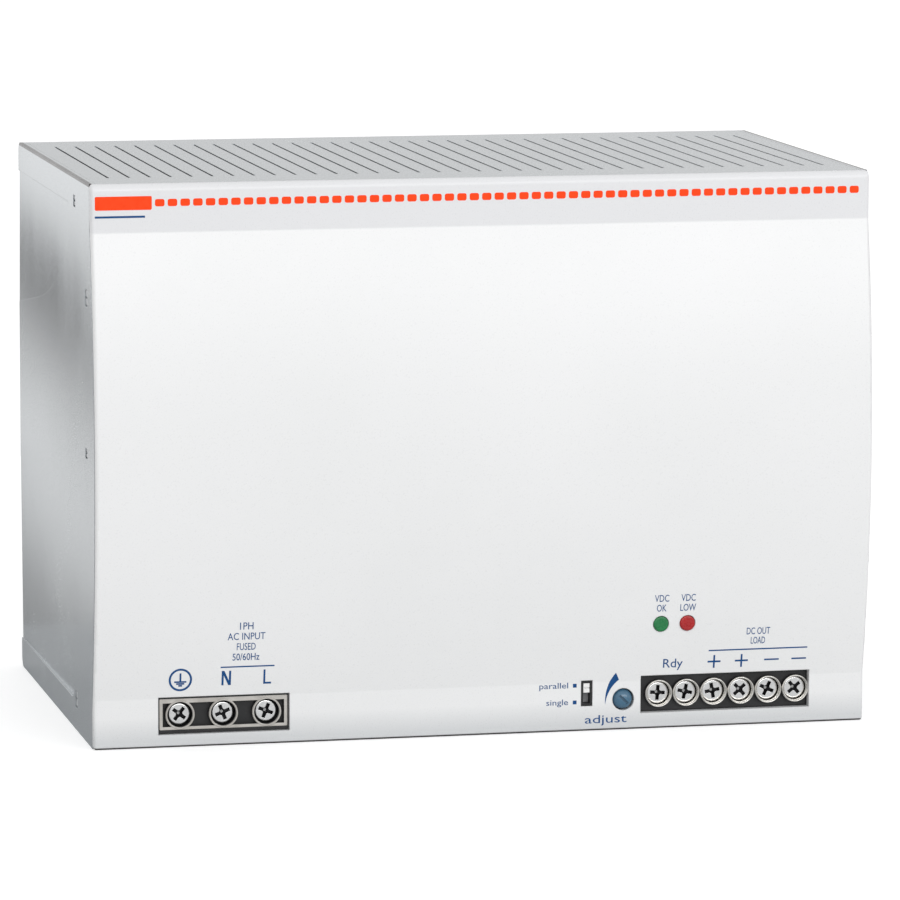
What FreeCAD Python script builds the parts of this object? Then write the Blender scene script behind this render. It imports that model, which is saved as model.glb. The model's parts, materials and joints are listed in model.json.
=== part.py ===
import FreeCAD, Part
import math
import os

# A 24 V, 480 W switch-mode power supply for a 35 mm top-hat rail.
#
# Row frame: X to the right seen from the front, Y towards the rail, Z up. The origin is on the rail's
# centreline, in the middle of the plane on which the rail's flanges seat, so the device faces -Y.
# Most pieces are placed by three distances: u from the left side, s behind the front strip's plane
# and h above the casing's bottom. The rail bracket and its latch are placed in X, Y and Z.
# All sizes are in millimetres.

Vector = FreeCAD.Vector

# --- casing -------------------------------------------------------------------------------------
WIDTH = 175.5
HEIGHT = 124.5
CASE_DEPTH = 107.0          # front strip's plane to the rear of the back sheet
RAIL_HEIGHT = 62.25         # rail centreline above the casing's bottom
SHEET = 1.2                 # top, back and bottom wrap
SIDE_SHEET = 1.5            # side panels
SEAM = 0.1                  # gap between neighbouring sheets
BEND = 2.5                  # outer radius of the wrap's two bends
FLANGE = 12.0               # side panel's rear flange
FLANGE_INSET = 8.0          # flange's ends from the top and the bottom
PAD_STEP = 0.8              # depth of the pressed pads' floor at their front corner
PAD_RISE_BACK = 0.5         # floor's rise from there to the back
PAD_RISE_MIDDLE = 0.25      # and to the pad's side towards the middle
PAD_MARGIN = 6.7            # upper and lower edge of the pads from the panel's edge
PAD_FRONT = 31.0            # front edge of the upper pad
PAD_FRONT_LOW = 27.0        # front edge of the lower pad
PAD_STRAIGHT = 10.0         # height of a pad's straight front edge
PAD_TALL = (31.0, 44.0)     # heights of the upper and the lower pad at the back
PAD_REAR = 4.0              # a pad's pressed inner face stops this far before the back

# --- front cover --------------------------------------------------------------------------------
BULGE = 5.1                 # how far the front is crowned
BULGE_FOOT = 11.0           # crowned stretch starts here above the bottom
STRIP = 10.6                # and ends this far below the top, under the flat strip
COVER_WALL = 2.0
COVER_GAP = 0.15            # cover to sheet edges
COVER_NEST = 12.0           # how far the cover's rim reaches into the casing
RIM_WALL = 1.6
RIM_CLEARANCE = 0.2
TOP_ROUND = 1.5
FOOT_ROUND = 0.6
SIDE_ROUND = 0.7
# Snap windows: distance behind the front, height, window height, and which edge the height is from.
SNAPS = ((23.0, 5.7, 2.6, "top"), (7.0, 25.4, 3.8, "top"), (8.0, 64.7, 2.2, "foot"), (24.3, 7.0, 3.8, "foot"))
SNAP_LENGTH = 2.8           # window's size along the depth
SNAP_CLEARANCE = 0.25
SNAP_GROOVE = 0.5
TONGUE_EXTRA = 2.4          # tongue reaches this far past its window's middle
TONGUE_HALF = 3.0

# --- ventilation slots in the top and the bottom ------------------------------------------------
SLOT_WIDTH = 0.6
SLOT_PITCH = 4.65
SLOT_MARGIN = 6.0           # nearest slot's centre may be this close to a side
SLOT_FRONT = 15.0
SLOT_REAR = 15.0            # last slots end this far before the back
SLOT_BEHIND = 6.0           # bottom slots start this far behind the terminal blocks

# --- terminals ----------------------------------------------------------------------------------
INPUT_POLES = ("earth", "neutral", "line")
OUTPUT_POLES = ("ready_1", "ready_2", "plus_1", "plus_2", "minus_1", "minus_2")
INPUT_TURNS = (38.0, 68.0, 22.0)                          # how far each screw's cross is turned
OUTPUT_TURNS = (4.0, 12.0, 80.0, 48.0, 25.0, 50.0)
INPUT_PITCH = 9.7
OUTPUT_PITCH = 6.35
INPUT_LEFT = 14.35          # left edge of the input opening from the left side
INPUT_ENDS = (5.0, 5.0)     # first and last pole from the opening's edges
OUTPUT_RIGHT = 12.65        # right edge of the output opening from the right side
OUTPUT_ENDS = (4.45, 2.95)
INPUT_WINDOW = (2.85, 11.25)    # foot and head of the openings
OUTPUT_WINDOW = (3.6, 12.1)
INPUT_SCREW_HEIGHT = 7.1    # screw axes above the bottom
OUTPUT_SCREW_HEIGHT = 7.75
NOSE_CLEARANCE = 0.15
NOSE_FRONT = 1.0            # collars' plane behind the front strip
NOSE_FLOOR = 2.3            # floor between the collars
NOSE_RIM = 0.9              # bevelled rim round the input terminals
BODY_MARGIN = 0.6           # block's body is this much larger than the opening
BLOCK_FOOT = 1.6
BLOCK_HEAD = 13.0
BLOCK_DEPTH = 18.2
WELL_RADIUS = 2.8
INPUT_COLLAR = 3.28         # radius of the collars round the wells
OUTPUT_COLLAR = 3.15
HEAD_RADIUS = 2.5
HEAD_FRONT = 2.1
HEAD_THICK = 1.4
HEAD_EDGE = 0.4             # rounding of the head's rim
CROSS_WIDTH = 0.8
CROSS_LENGTH = 3.4
CROSS_DEPTH = 1.1
SHELF = 1.0                 # wall that the screw's head seats on
SHANK_RADIUS = 1.5
THREAD_CLEARANCE = 0.05
SHANK_HOLE = 1.75
TIP_GAP = 0.2               # screw's tip to the current bar
CAGE_TRAVEL = 2.9
CAGE_HEIGHT = 5.6
CAGE_FRONT_WALL = 1.6
CAGE_REAR_WALL = 1.2
CAGE_SIDE_WALL = 0.7
CAGE_PLAY = 0.15            # cage to chamber walls
CHAMBER_START_GAP = 0.2     # closed cage to the shelf
BAR_THICK = 1.2
BAR_GAP = 0.5               # open cage's front wall to the bar
WIRE_GAP = 4.5              # open space for the conductor
INPUT_CAGE = 7.6
OUTPUT_CAGE = 5.0
BAR_PLAY = 0.35             # bar to the cage's side walls
WIRE_SIDE = 0.25            # wire entry to the cage's side walls
TAIL = 1.2                  # solder tail's width
TAIL_REACH = 1.0            # tail above the board
TAIL_HOLE = 1.0

# --- boards -------------------------------------------------------------------------------------
BOARD_THICK = 1.6
BOARD_LIFT = 0.4            # board above the terminal blocks
BOARD_FRONT = 8.4
BOARD_SIDE = 6.0
BOARD_REAR = 3.5
STANDOFF_FLATS = 5.5
STANDOFF_BORE = 1.55
STANDOFF_INSET = 8.4
STANDOFF_FRONT = 15.2
STANDOFF_REAR = 8.0
BOARD_SCREW = 1.5
BOARD_SCREW_HEAD = 2.7
BOARD_SCREW_DEPTH = 6.0
BOARD_HOLE = 1.7

# --- controls, placed from the output opening's left edge ------------------------------------------
TRIMMER_OFFSET = -4.0
TRIMMER_HEIGHT = 6.9
TRIMMER_BODY = 6.0
KNOB_RADIUS = 2.3
KNOB_CLEARANCE = 0.2
KNOB_FRONT = -0.6           # crown of the knob before the front strip
KNOB_DOME = 1.85            # rounding of its front edge
KNOB_SKIRT = 0.8
KNOB_SLOT = 0.55            # width and depth of its slot
KNOB_SLOT_HALF = 1.25
SWITCH_OFFSET = -12.4
SWITCH_HEIGHT = 8.55
SWITCH_SIZE = (2.45, 5.65)
SWITCH_WALL = 0.5
SLIDER_SIZE = (1.4, 2.1)
SLIDER_PLAY = 0.1
SLIDER_DEPTH = 1.5
SWITCH_FRONT = 0.2
LIGHT_OFFSETS = (4.0, 10.1)
LIGHT_HEIGHT = 24.1
LIGHT_RADIUS = 1.75
LIGHT_CLEARANCE = 0.08
LIGHT_PROUD = 0.25
LIGHT_ROUND = 0.4
CONTROL_REAR = 9.6          # rear face of the control board
CONTROL_FOOT = 3.4
CONTROL_HEAD = 29.0
CHIP = (2.6, 1.0, 2.0)

# --- rail bracket and latch, in X, Y and Z ---------------------------------------------------------
RAIL = 35.0                 # width of the top-hat rail
RAIL_GRIP = 1.3             # seat plane to the hooks' lips, for the rail's 1 mm flange
BRACKET_DEPTH = 4.0         # casing's back to the seat plane
BRACKET_WIDTH = 80.0
BRACKET_SHEET = 1.4
BRACKET_HEAD = 27.0         # bracket's top above the rail's centreline
BRACKET_FOOT = 9.0          # bracket's foot above the casing's bottom
SEAT_RELIEF = 0.3           # seat is coined back under the lips
SEAT_HALF = 14.8            # half height of the seat left at full height
HOOK_SPAN = (22.0, 38.0)    # each hook from and to, either side of the middle
HOOK_PLAY = 0.4             # rail's edge to the hook's inner wall
HOOK_WALL = 1.5
LIP = 2.2                   # lip's overlap over the rail's flange
LATCH_HALF = 21.0
LATCH_THICK = 2.2
LATCH_PLAY = 0.1            # latch to the bracket's plate
LATCH_TRAVEL = 4.5
LATCH_PLAY_RAIL = 0.6
NOSE_HEIGHT = 4.0
NOSE_REACH = 4.2
LATCH_GROUND = 1.2          # latch's tab ends this far above the casing's bottom
TAB_HALF = 12.0
TAB_HEIGHT = 7.0
TAB_SLOT = (8.0, 2.4)
GUIDE_WALL = 1.4
GUIDE_LIP = 1.7
GUIDE_PLAY = 0.2
GUIDE_TOP_GAP = 2.0         # guides end this far under the lowered nose
GUIDE_PROUD = 0.9
SPRING_X = 12.0
SPRING_HALF = 3.0           # half width of the latch's spring windows
SPRING_ROOM = 16.0
SPRING_RADIUS = 1.95
SPRING_WIRE = 0.25
SPRING_TURNS = 9
SPRING_AXIS_Y = -0.3
ANVIL = 1.3
ANVIL_HALF = 2.0
ANVIL_PROUD = 1.5
BRACKET_SCREWS = ((-13.0, 22.4), (13.0, 22.4), (-33.0, -38.0), (33.0, -38.0))
BRACKET_SCREW = 2.0
BRACKET_SCREW_HEAD = 3.8
BRACKET_SCREW_THICK = 2.0
BRACKET_SCREW_REACH = 3.0   # past the inside of the back sheet
CASE_SCREW = 1.5
CASE_SCREW_HEAD = 2.8
CASE_SCREW_THICK = 1.6
CASE_SCREW_REACH = 3.5
CASE_SCREW_U = 7.0
SCREW_PLAY = 0.1

# --- pieces on the main board -------------------------------------------------------------------
ROW_1 = 19.0                # fronts of the three rows of components
ROW_2 = 45.0
ROW_3 = 71.5
WALL_GAP = 7.0
COLUMN_GAP = 1.2
COLUMN = 22.0
FILM_CAP = (10.0, 24.0, 17.0)
BULK_CAP_RADIUS = 11.0
BULK_CAP_HEIGHT = 46.0
OUTPUT_CAP_RADIUS = 5.2
OUTPUT_CAP_HEIGHT = 30.0
SINK_BASE = 2.5
SINK_FIN = 4.0
SINK_FIN_THICK = 1.4
SINK_FINS = 9
SINK_HEIGHT = 72.0
SINK_REAR = 14.0
PACKAGE = (4.8, 15.6, 20.5)
PACKAGE_LIFT = 14.0
CORE = (30.0, 12.0, 34.0)
CORE_YOKE = 5.5
CORE_LEG = 9.0
CORE_LIFT = 4.0
COIL = (22.0, 28.0, 40.0)
COIL_PLAY = 0.1
CHOKE_CORE = (8.0, 13.0, 11.0)
CHOKE_WIRE = 2.0
FILTER_CORE = (22.0, 16.0, 22.0)
FILTER_YOKE = 5.0
FILTER_WIRE = 3.0
FUSE_RADIUS = 2.6
FUSE_LENGTH = 20.0
FUSE_LIFT = 3.6
CLIP_LENGTH = 4.5
CLIP_WALL = 0.5
RELAY = (18.0, 8.0, 15.0)
OUTPUT_CHOKE = (5.5, 9.5, 9.0)
INSULATION = 0.4
INSULATION_SIDE = 14.0

# --- values worked out from those above ----------------------------------------------------------
LEFT = -WIDTH / 2
FRONT = -(BRACKET_DEPTH + CASE_DEPTH)
BOTTOM = -RAIL_HEIGHT
BULGE_HEAD = HEIGHT - STRIP
BULGE_MID = (BULGE_FOOT + BULGE_HEAD) / 2
BULGE_HALF = (BULGE_HEAD - BULGE_FOOT) / 2
BULGE_RADIUS = (BULGE_HALF ** 2 + BULGE ** 2) / (2 * BULGE)
SHEET_FRONT = COVER_WALL + COVER_GAP
INPUT_RIGHT = INPUT_LEFT + sum(INPUT_ENDS) + (len(INPUT_POLES) - 1) * INPUT_PITCH
OUTPUT_LEFT = WIDTH - OUTPUT_RIGHT - sum(OUTPUT_ENDS) - (len(OUTPUT_POLES) - 1) * OUTPUT_PITCH
HEAD_SEAT = HEAD_FRONT + HEAD_THICK
SHELF_REAR = HEAD_SEAT + SHELF
CAGE_FRONT = SHELF_REAR + CHAMBER_START_GAP + CAGE_TRAVEL
BAR_FRONT = CAGE_FRONT + CAGE_FRONT_WALL + BAR_GAP
BAR_REAR = BAR_FRONT + BAR_THICK
CAGE_INNER_REAR = BAR_REAR + WIRE_GAP
CAGE_REAR = CAGE_INNER_REAR + CAGE_REAR_WALL
BOARD_FOOT = BLOCK_HEAD + BOARD_LIFT
BOARD_TOP = BOARD_FOOT + BOARD_THICK
CONTROL_FRONT = CONTROL_REAR - BOARD_THICK
TRIMMER_U = OUTPUT_LEFT + TRIMMER_OFFSET
SWITCH_U = OUTPUT_LEFT + SWITCH_OFFSET
CASE_BACK_Y = -BRACKET_DEPTH
PLATE_REAR_Y = CASE_BACK_Y + BRACKET_SHEET
NOSE_TOP_Z = -(RAIL / 2 + LATCH_PLAY_RAIL)
NOSE_FOOT_Z = NOSE_TOP_Z - NOSE_HEIGHT
GUIDE_TOP_Z = NOSE_FOOT_Z - LATCH_TRAVEL - GUIDE_TOP_GAP
SPRING_TOP_Z = GUIDE_TOP_Z - 1.4
ANVIL_FOOT_Z = SPRING_TOP_Z - SPRING_ROOM


# --- shared shapes ------------------------------------------------------------------------------
def point(u, s, h):
    """The point at u from the left, s behind the front strip and h above the bottom."""
    return Vector(LEFT + u, FRONT + s, BOTTOM + h)


def block(u, s, h):
    """A box, each side given as (from, to)."""
    return Part.makeBox(u[1] - u[0], s[1] - s[0], h[1] - h[0], point(u[0], s[0], h[0]))


def box_xyz(x, y, z):
    """A box in the row frame, each side given as (from, to)."""
    return Part.makeBox(x[1] - x[0], y[1] - y[0], z[1] - z[0], Vector(x[0], y[0], z[0]))


def rod(radius, u, s, h):
    """A round bar along the depth, with s as (from, to)."""
    return Part.makeCylinder(radius, s[1] - s[0], point(u, s[0], h), Vector(0, 1, 0))


def post(radius, u, s, h):
    """A round bar standing up, with h as (from, to)."""
    return Part.makeCylinder(radius, h[1] - h[0], point(u, s, h[0]))


def around(middle, half):
    return (middle - half, middle + half)


def side_outline(path, u):
    """A closed outline in the s-h plane at u. A path entry is a point (s, h), reached by a line, or a
    pair of points: an arc through the first to the second."""
    edges = []
    here = point(u, *path[0])
    for step in path[1:] + [path[0]]:
        if isinstance(step[0], tuple):
            there = point(u, *step[1])
            edges.append(Part.Arc(here, point(u, *step[0]), there).toShape())
        else:
            there = point(u, *step)
            if here.distanceToPoint(there) > 1e-6:
                edges.append(Part.LineSegment(here, there).toShape())
        here = there
    return Part.Wire(edges)


def side_prism(path, u):
    """The solid between two distances from the left, with a side_outline path as its section."""
    return Part.Face(side_outline(path, u[0])).extrude(Vector(u[1] - u[0], 0, 0))


def corner(centre, radius, degrees):
    """The point of a corner's arc at an angle in the s-h plane, 0 towards the back and 90 up."""
    angle = math.radians(degrees)
    return (centre[0] + radius * math.cos(angle), centre[1] + radius * math.sin(angle))


def crown(inset):
    """Head, middle and foot of the crowned front's section, set back into the cover by inset."""
    radius = BULGE_RADIUS - inset
    reach = math.sqrt(radius ** 2 - (BULGE_RADIUS - BULGE - inset) ** 2)
    return ((inset, BULGE_MID + reach), (inset - BULGE, BULGE_MID), (inset, BULGE_MID - reach))


def crown_depth(h):
    """How far behind the front strip's plane the cover's surface is at a height."""
    if not BULGE_FOOT < h < BULGE_HEAD:
        return 0.0
    return BULGE_RADIUS - BULGE - math.sqrt(BULGE_RADIUS ** 2 - (h - BULGE_MID) ** 2)


def snap_height(snap):
    return HEIGHT - snap[1] if snap[3] == "top" else snap[1]


def mirrored(shape):
    """The shape reflected in the device's middle plane."""
    return shape.mirror(Vector(0, 0, 0), Vector(1, 0, 0))


def hexagon_post(flats, u, s, h):
    corners = [point(u, s, h[0]) + Vector(math.cos(a), math.sin(a), 0) * (flats / math.sqrt(3))
               for a in (math.radians(60 * k) for k in range(7))]
    return Part.Face(Part.makePolygon(corners)).extrude(Vector(0, 0, h[1] - h[0]))


def merged(shapes):
    """Touching or overlapping shapes as one solid."""
    return shapes[0].fuse(shapes[1:]).removeSplitter()


# --- casing -------------------------------------------------------------------------------------
def slot_tools(front, h):
    """A row of long rounded slots, from a distance behind the front, through a sheet between two heights."""
    last = int((WIDTH - 2 * SLOT_MARGIN) / SLOT_PITCH)
    radius = SLOT_WIDTH / 2
    span = (front + radius, CASE_DEPTH - SLOT_REAR - radius)
    tools = []
    for k in range(last + 1):
        u = WIDTH / 2 + (k - last / 2) * SLOT_PITCH
        ends = [post(radius, u, s, h) for s in span]
        tools.append(block(around(u, radius), span, h).fuse(ends).removeSplitter())
    return tools


def wire_windows(h):
    """The two windows under the terminal blocks."""
    spans = ((INPUT_LEFT, INPUT_RIGHT), (OUTPUT_LEFT, WIDTH - OUTPUT_RIGHT))
    reach = BODY_MARGIN + RIM_CLEARANCE
    return [block((a - reach, b + reach), (COVER_WALL, BLOCK_DEPTH + RIM_CLEARANCE), h) for a, b in spans]


def back_screw_holes():
    """Holes through the back sheet for the bracket's and the casing's screws."""
    s = (CASE_DEPTH - SHEET - 1, CASE_DEPTH + 1)
    bracket = [rod(BRACKET_SCREW + SCREW_PLAY, x - LEFT, s, z - BOTTOM) for x, z in BRACKET_SCREWS]
    return bracket + [rod(CASE_SCREW + SCREW_PLAY, u, s, h) for u, h in case_screw_places()]


def case_screw_places():
    heights = (FLANGE_INSET + 8, HEIGHT / 2, HEIGHT - FLANGE_INSET - 8)
    return [(u, h) for u in (CASE_SCREW_U, WIDTH - CASE_SCREW_U) for h in heights]


def chassis_shell():
    """Top, back and bottom in one bent sheet."""
    low = (CASE_DEPTH - BEND, BEND)
    high = (CASE_DEPTH - BEND, HEIGHT - BEND)
    inner = BEND - SHEET
    path = [
        (SHEET_FRONT, HEIGHT), (high[0], HEIGHT),
        (corner(high, BEND, 45), corner(high, BEND, 0)), corner(low, BEND, 0),
        (corner(low, BEND, -45), corner(low, BEND, -90)), (SHEET_FRONT, 0),
        (SHEET_FRONT, SHEET), corner(low, inner, -90),
        (corner(low, inner, -45), corner(low, inner, 0)), corner(high, inner, 0),
        (corner(high, inner, 45), corner(high, inner, 90)), (SHEET_FRONT, HEIGHT - SHEET),
    ]
    side = SIDE_SHEET + SEAM
    shell = side_prism(path, (side, WIDTH - side))
    slots = slot_tools(SLOT_FRONT, (HEIGHT - SHEET - 1, HEIGHT + 1))
    slots += slot_tools(BLOCK_DEPTH + SLOT_BEHIND, (-1, SHEET + 1))
    return shell.cut(slots + wire_windows((-1, SHEET + 1)) + back_screw_holes())


def pad_outline(upper):
    """Path of a pressed pad in a side panel, open to the panel's rear edge."""
    back = CASE_DEPTH + 1
    if upper:
        edge = HEIGHT - PAD_MARGIN
        return [(back, edge), (PAD_FRONT, edge), (PAD_FRONT, edge - PAD_STRAIGHT),
                ((50.0, edge - 19.3), (78.0, edge - 26.6)), (back, edge - PAD_TALL[0])]
    edge = PAD_MARGIN
    return [(back, edge), (PAD_FRONT_LOW + 2, edge), (PAD_FRONT_LOW, edge + 2), (PAD_FRONT_LOW, edge + PAD_STRAIGHT),
            ((46.0, edge + 15.6), (66.0, edge + 24.6)), (back, edge + PAD_TALL[1])]


def pad_room(upper, depth):
    """What lies to the left of a pad's tilted floor, whose front corner is at a given depth."""
    front = PAD_FRONT if upper else PAD_FRONT_LOW
    edge = HEIGHT - PAD_MARGIN if upper else PAD_MARGIN
    tall = PAD_TALL[0] if upper else PAD_TALL[1]
    room = Part.makeBox(2 * FLANGE, 4 * CASE_DEPTH, 4 * HEIGHT, Vector(-2 * FLANGE, -2 * CASE_DEPTH, -2 * HEIGHT))
    room.rotate(Vector(), Vector(0, 0, 1), math.degrees(math.atan(PAD_RISE_BACK / (CASE_DEPTH - front))))
    lean = math.degrees(math.atan(PAD_RISE_MIDDLE / tall))
    room.rotate(Vector(), Vector(0, 1, 0), lean if upper else -lean)
    room.translate(point(depth, front, edge))
    return room


def left_side_panel():
    """Side sheet with two pressed pads, windows for the cover's snaps and a flange behind the back."""
    head, middle, foot = crown(SHEET_FRONT)
    low = (CASE_DEPTH - BEND, BEND)
    high = (CASE_DEPTH - BEND, HEIGHT - BEND)
    path = [
        (SHEET_FRONT, 0), corner(low, BEND, -90), (corner(low, BEND, -45), corner(low, BEND, 0)),
        corner(high, BEND, 0), (corner(high, BEND, 45), corner(high, BEND, 90)), (SHEET_FRONT, HEIGHT),
        head, (middle, foot),
    ]
    panel = side_prism(path, (0, SIDE_SHEET))
    rear = block((0, SIDE_SHEET + 2 * PAD_STEP), (0, CASE_DEPTH - PAD_REAR), (0, HEIGHT))
    for upper in (True, False):
        outline = pad_outline(upper)
        inner = side_prism(outline, (SIDE_SHEET / 2, SIDE_SHEET + 2 * PAD_STEP)).common(rear)
        inner = inner.common(pad_room(upper, PAD_STEP + SIDE_SHEET))
        panel = panel.fuse(inner).cut(side_prism(outline, (-1, 2 * PAD_STEP)).common(pad_room(upper, PAD_STEP)))
    flange_rear = CASE_DEPTH - SHEET - SEAM
    flange = block((0, FLANGE), (flange_rear - SHEET, flange_rear), (FLANGE_INSET, HEIGHT - FLANGE_INSET))
    windows = [block((-1, SIDE_SHEET + 1), around(s, SNAP_LENGTH / 2), around(snap_height(snap), tall / 2))
               for snap in SNAPS for s, tall in [(snap[0], snap[2])]]
    hole_s = (flange_rear - SHEET - 1, flange_rear + 1)
    holes = [rod(CASE_SCREW + SCREW_PLAY, u, hole_s, h) for u, h in case_screw_places() if u < WIDTH / 2]
    trimmed = flange.cut(block((0, PAD_STEP), (0, CASE_DEPTH), (0, HEIGHT)))
    return panel.fuse(trimmed).cut(windows + holes).removeSplitter()


def case_screws():
    """Six pan-head screws that hold the side panels' flanges to the back sheet."""
    seat = CASE_DEPTH
    tip = CASE_DEPTH - CASE_SCREW_REACH - SHEET
    return [pan_screw_rear(u, h, seat, tip, CASE_SCREW, CASE_SCREW_HEAD, CASE_SCREW_THICK)
            for u, h in case_screw_places()]


def pan_screw_rear(u, h, seat, tip, radius, head, thick):
    """A screw whose head faces the back, with a cross recess."""
    shank = rod(radius, u, (tip, seat), h)
    top = rod(head, u, (seat, seat + thick), h)
    rim = [e for e in top.Edges if len(e.Vertexes) == 1 and e.CenterOfMass.y > FRONT + seat + thick / 2]
    top = top.makeFillet(thick * 0.45, rim)
    depth = (seat + thick * 0.45, seat + thick + 1)
    wide, slim = head * 0.62, head * 0.16
    cross = block(around(u, wide), depth, around(h, slim)).fuse(block(around(u, slim), depth, around(h, wide)))
    return shank.fuse(top.cut(cross))


# --- front cover --------------------------------------------------------------------------------
def cover_skin():
    """The crowned front wall, with its edges rounded."""
    head, middle, foot = crown(0)
    inner_head, inner_middle, inner_foot = crown(COVER_WALL)
    top = (TOP_ROUND, HEIGHT - TOP_ROUND)
    low = (FOOT_ROUND, FOOT_ROUND)
    path = [
        (COVER_WALL, HEIGHT), corner(top, TOP_ROUND, 90),
        (corner(top, TOP_ROUND, 135), corner(top, TOP_ROUND, 180)), head, (middle, foot),
        corner(low, FOOT_ROUND, 180), (corner(low, FOOT_ROUND, 225), corner(low, FOOT_ROUND, 270)),
        (COVER_WALL, 0), inner_foot, (inner_middle, inner_head),
    ]
    skin = side_prism(path, (0, WIDTH))
    front = [e for e in skin.Edges if is_front_side_edge(e)]
    return skin.makeFillet(SIDE_ROUND, front)


def is_front_side_edge(edge):
    """True for the edges of the skin's outer face that lie in a side plane, between the two roundings."""
    middle = edge.CenterOfMass
    on_side = abs(abs(middle.x) - WIDTH / 2) < 1e-6 and edge.BoundBox.XLength < 1e-6
    return on_side and edge.BoundBox.ZLength > STRIP / 2 and middle.y < FRONT + 1e-3


def nest_path(inset, margin, rear):
    """Section of the cover's rim or hollow, inset from the front and by margin from top and bottom."""
    head, middle, foot = crown(inset)
    return [(rear, HEIGHT - margin), (inset, HEIGHT - margin), head, (middle, foot), (inset, margin), (rear, margin)]


def snap_tongues():
    """Tongues and bosses that snap into the left panel's windows."""
    inner = SIDE_SHEET + RIM_CLEARANCE
    shapes = []
    for snap in SNAPS:
        s, tall, h = snap[0], snap[2], snap_height(snap)
        if s > COVER_NEST:
            spine = around(h, TONGUE_HALF)
            shapes.append(block((inner, inner + RIM_WALL), (COVER_NEST - 2, s + TONGUE_EXTRA), spine))
        boss = block((SIDE_SHEET * 0.15, inner + 0.5), around(s, SNAP_LENGTH / 2 - SNAP_CLEARANCE),
                     around(h, tall / 2 - SNAP_CLEARANCE))
        groove = block((-1, SIDE_SHEET * 0.7), around(s, SNAP_LENGTH), around(h, SNAP_GROOVE / 2))
        shapes.append(boss.cut(groove))
    return shapes


def front_cover():
    """Moulded cover: crowned skin, a rim that nests in the casing, snaps and all openings."""
    rim_side = SIDE_SHEET + RIM_CLEARANCE
    rim_edge = SHEET + RIM_CLEARANCE
    rim = side_prism(nest_path(COVER_WALL / 2, rim_edge, COVER_NEST), (rim_side, WIDTH - rim_side))
    hollow_side = rim_side + RIM_WALL
    hollow = side_prism(nest_path(COVER_WALL, rim_edge + RIM_WALL, COVER_NEST + 1), (hollow_side, WIDTH - hollow_side))
    tongues = snap_tongues()
    cover = cover_skin().fuse([rim]).cut(hollow)
    cover = cover.fuse(tongues + [mirrored(t) for t in tongues])
    through = (-BULGE - 1, COVER_NEST / 2)
    openings = [
        block((INPUT_LEFT, INPUT_RIGHT), through, INPUT_WINDOW),
        block((OUTPUT_LEFT, WIDTH - OUTPUT_RIGHT), through, OUTPUT_WINDOW),
        block(around(SWITCH_U, SWITCH_SIZE[0] / 2 + SLIDER_PLAY), through,
              around(SWITCH_HEIGHT, SWITCH_SIZE[1] / 2 + SLIDER_PLAY)),
        rod(KNOB_RADIUS + KNOB_CLEARANCE, TRIMMER_U, through, TRIMMER_HEIGHT),
    ]
    openings += [rod(LIGHT_RADIUS + LIGHT_CLEARANCE, OUTPUT_LEFT + d, through, LIGHT_HEIGHT) for d in LIGHT_OFFSETS]
    openings += [w.common(block((0, WIDTH), (COVER_WALL, COVER_NEST + 1), (-1, BLOCK_HEAD)))
                 for w in wire_windows((-1, rim_edge + RIM_WALL + 1))]
    return cover.cut(openings).removeSplitter()


# --- terminals ----------------------------------------------------------------------------------
def pole_places():
    """Name, u, h, cage width and screw angle of every pole."""
    places = []
    for poles, turns, first, pitch, h, cage in (
        (INPUT_POLES, INPUT_TURNS, INPUT_LEFT + INPUT_ENDS[0], INPUT_PITCH, INPUT_SCREW_HEIGHT, INPUT_CAGE),
        (OUTPUT_POLES, OUTPUT_TURNS, OUTPUT_LEFT + OUTPUT_ENDS[0], OUTPUT_PITCH, OUTPUT_SCREW_HEIGHT, OUTPUT_CAGE),
    ):
        places += [(name, first + k * pitch, h, cage, turn) for k, (name, turn) in enumerate(zip(poles, turns))]
    return places


def wire_half(cage):
    return cage / 2 - CAGE_SIDE_WALL - WIRE_SIDE


def bar_half(cage):
    return cage / 2 - CAGE_SIDE_WALL - BAR_PLAY


def terminal_block(names, left, right, window, collar, rimmed):
    """Moulded block: nose in the cover's opening, and for each pole a screw well, a cage chamber,
    a wire entry from below and a slot for the current bar."""
    body = block((left - BODY_MARGIN, right + BODY_MARGIN), (SHEET_FRONT + COVER_GAP, BLOCK_DEPTH),
                 (BLOCK_FOOT, BLOCK_HEAD))
    span = (left + NOSE_CLEARANCE, right - NOSE_CLEARANCE)
    tall = (window[0] + NOSE_CLEARANCE, window[1] - NOSE_CLEARANCE)
    start = NOSE_FRONT if rimmed else NOSE_FLOOR - 0.3
    nose = block(span, (start, COVER_WALL + 1), tall)
    shape = body.fuse(nose)
    poles = [p for p in pole_places() if p[0] in names]
    if rimmed:
        pocket = block((span[0] + NOSE_RIM, span[1] - NOSE_RIM), (0, NOSE_FLOOR),
                       (tall[0] + NOSE_RIM, tall[1] - NOSE_RIM))
        shape = shape.cut(pocket)
    limits = block(span, (0, BLOCK_DEPTH), tall)
    collars = [rod(collar, u, (NOSE_FRONT, COVER_WALL + 1), h).common(limits) for _, u, h, _, _ in poles]
    shape = shape.fuse(collars)
    cuts = []
    half_height = CAGE_HEIGHT / 2 + CAGE_PLAY
    for _, u, h, cage, _ in poles:
        chamber = around(h, half_height)
        cuts.append(rod(WELL_RADIUS, u, (0, HEAD_SEAT), h))
        cuts.append(rod(SHANK_HOLE, u, (0, SHELF_REAR + 1), h))
        cuts.append(block(around(u, cage / 2 + CAGE_PLAY), (SHELF_REAR, CAGE_REAR + CAGE_PLAY), chamber))
        cuts.append(block(around(u, wire_half(cage)), (BAR_REAR, CAGE_INNER_REAR), (0, h)))
        cuts.append(block(around(u, bar_half(cage) + SCREW_PLAY), (BAR_FRONT - SCREW_PLAY / 2, BAR_REAR + SCREW_PLAY / 2),
                          (chamber[0] - SHELF, BLOCK_HEAD + 1)))
    return shape.cut(cuts).removeSplitter()


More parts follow.
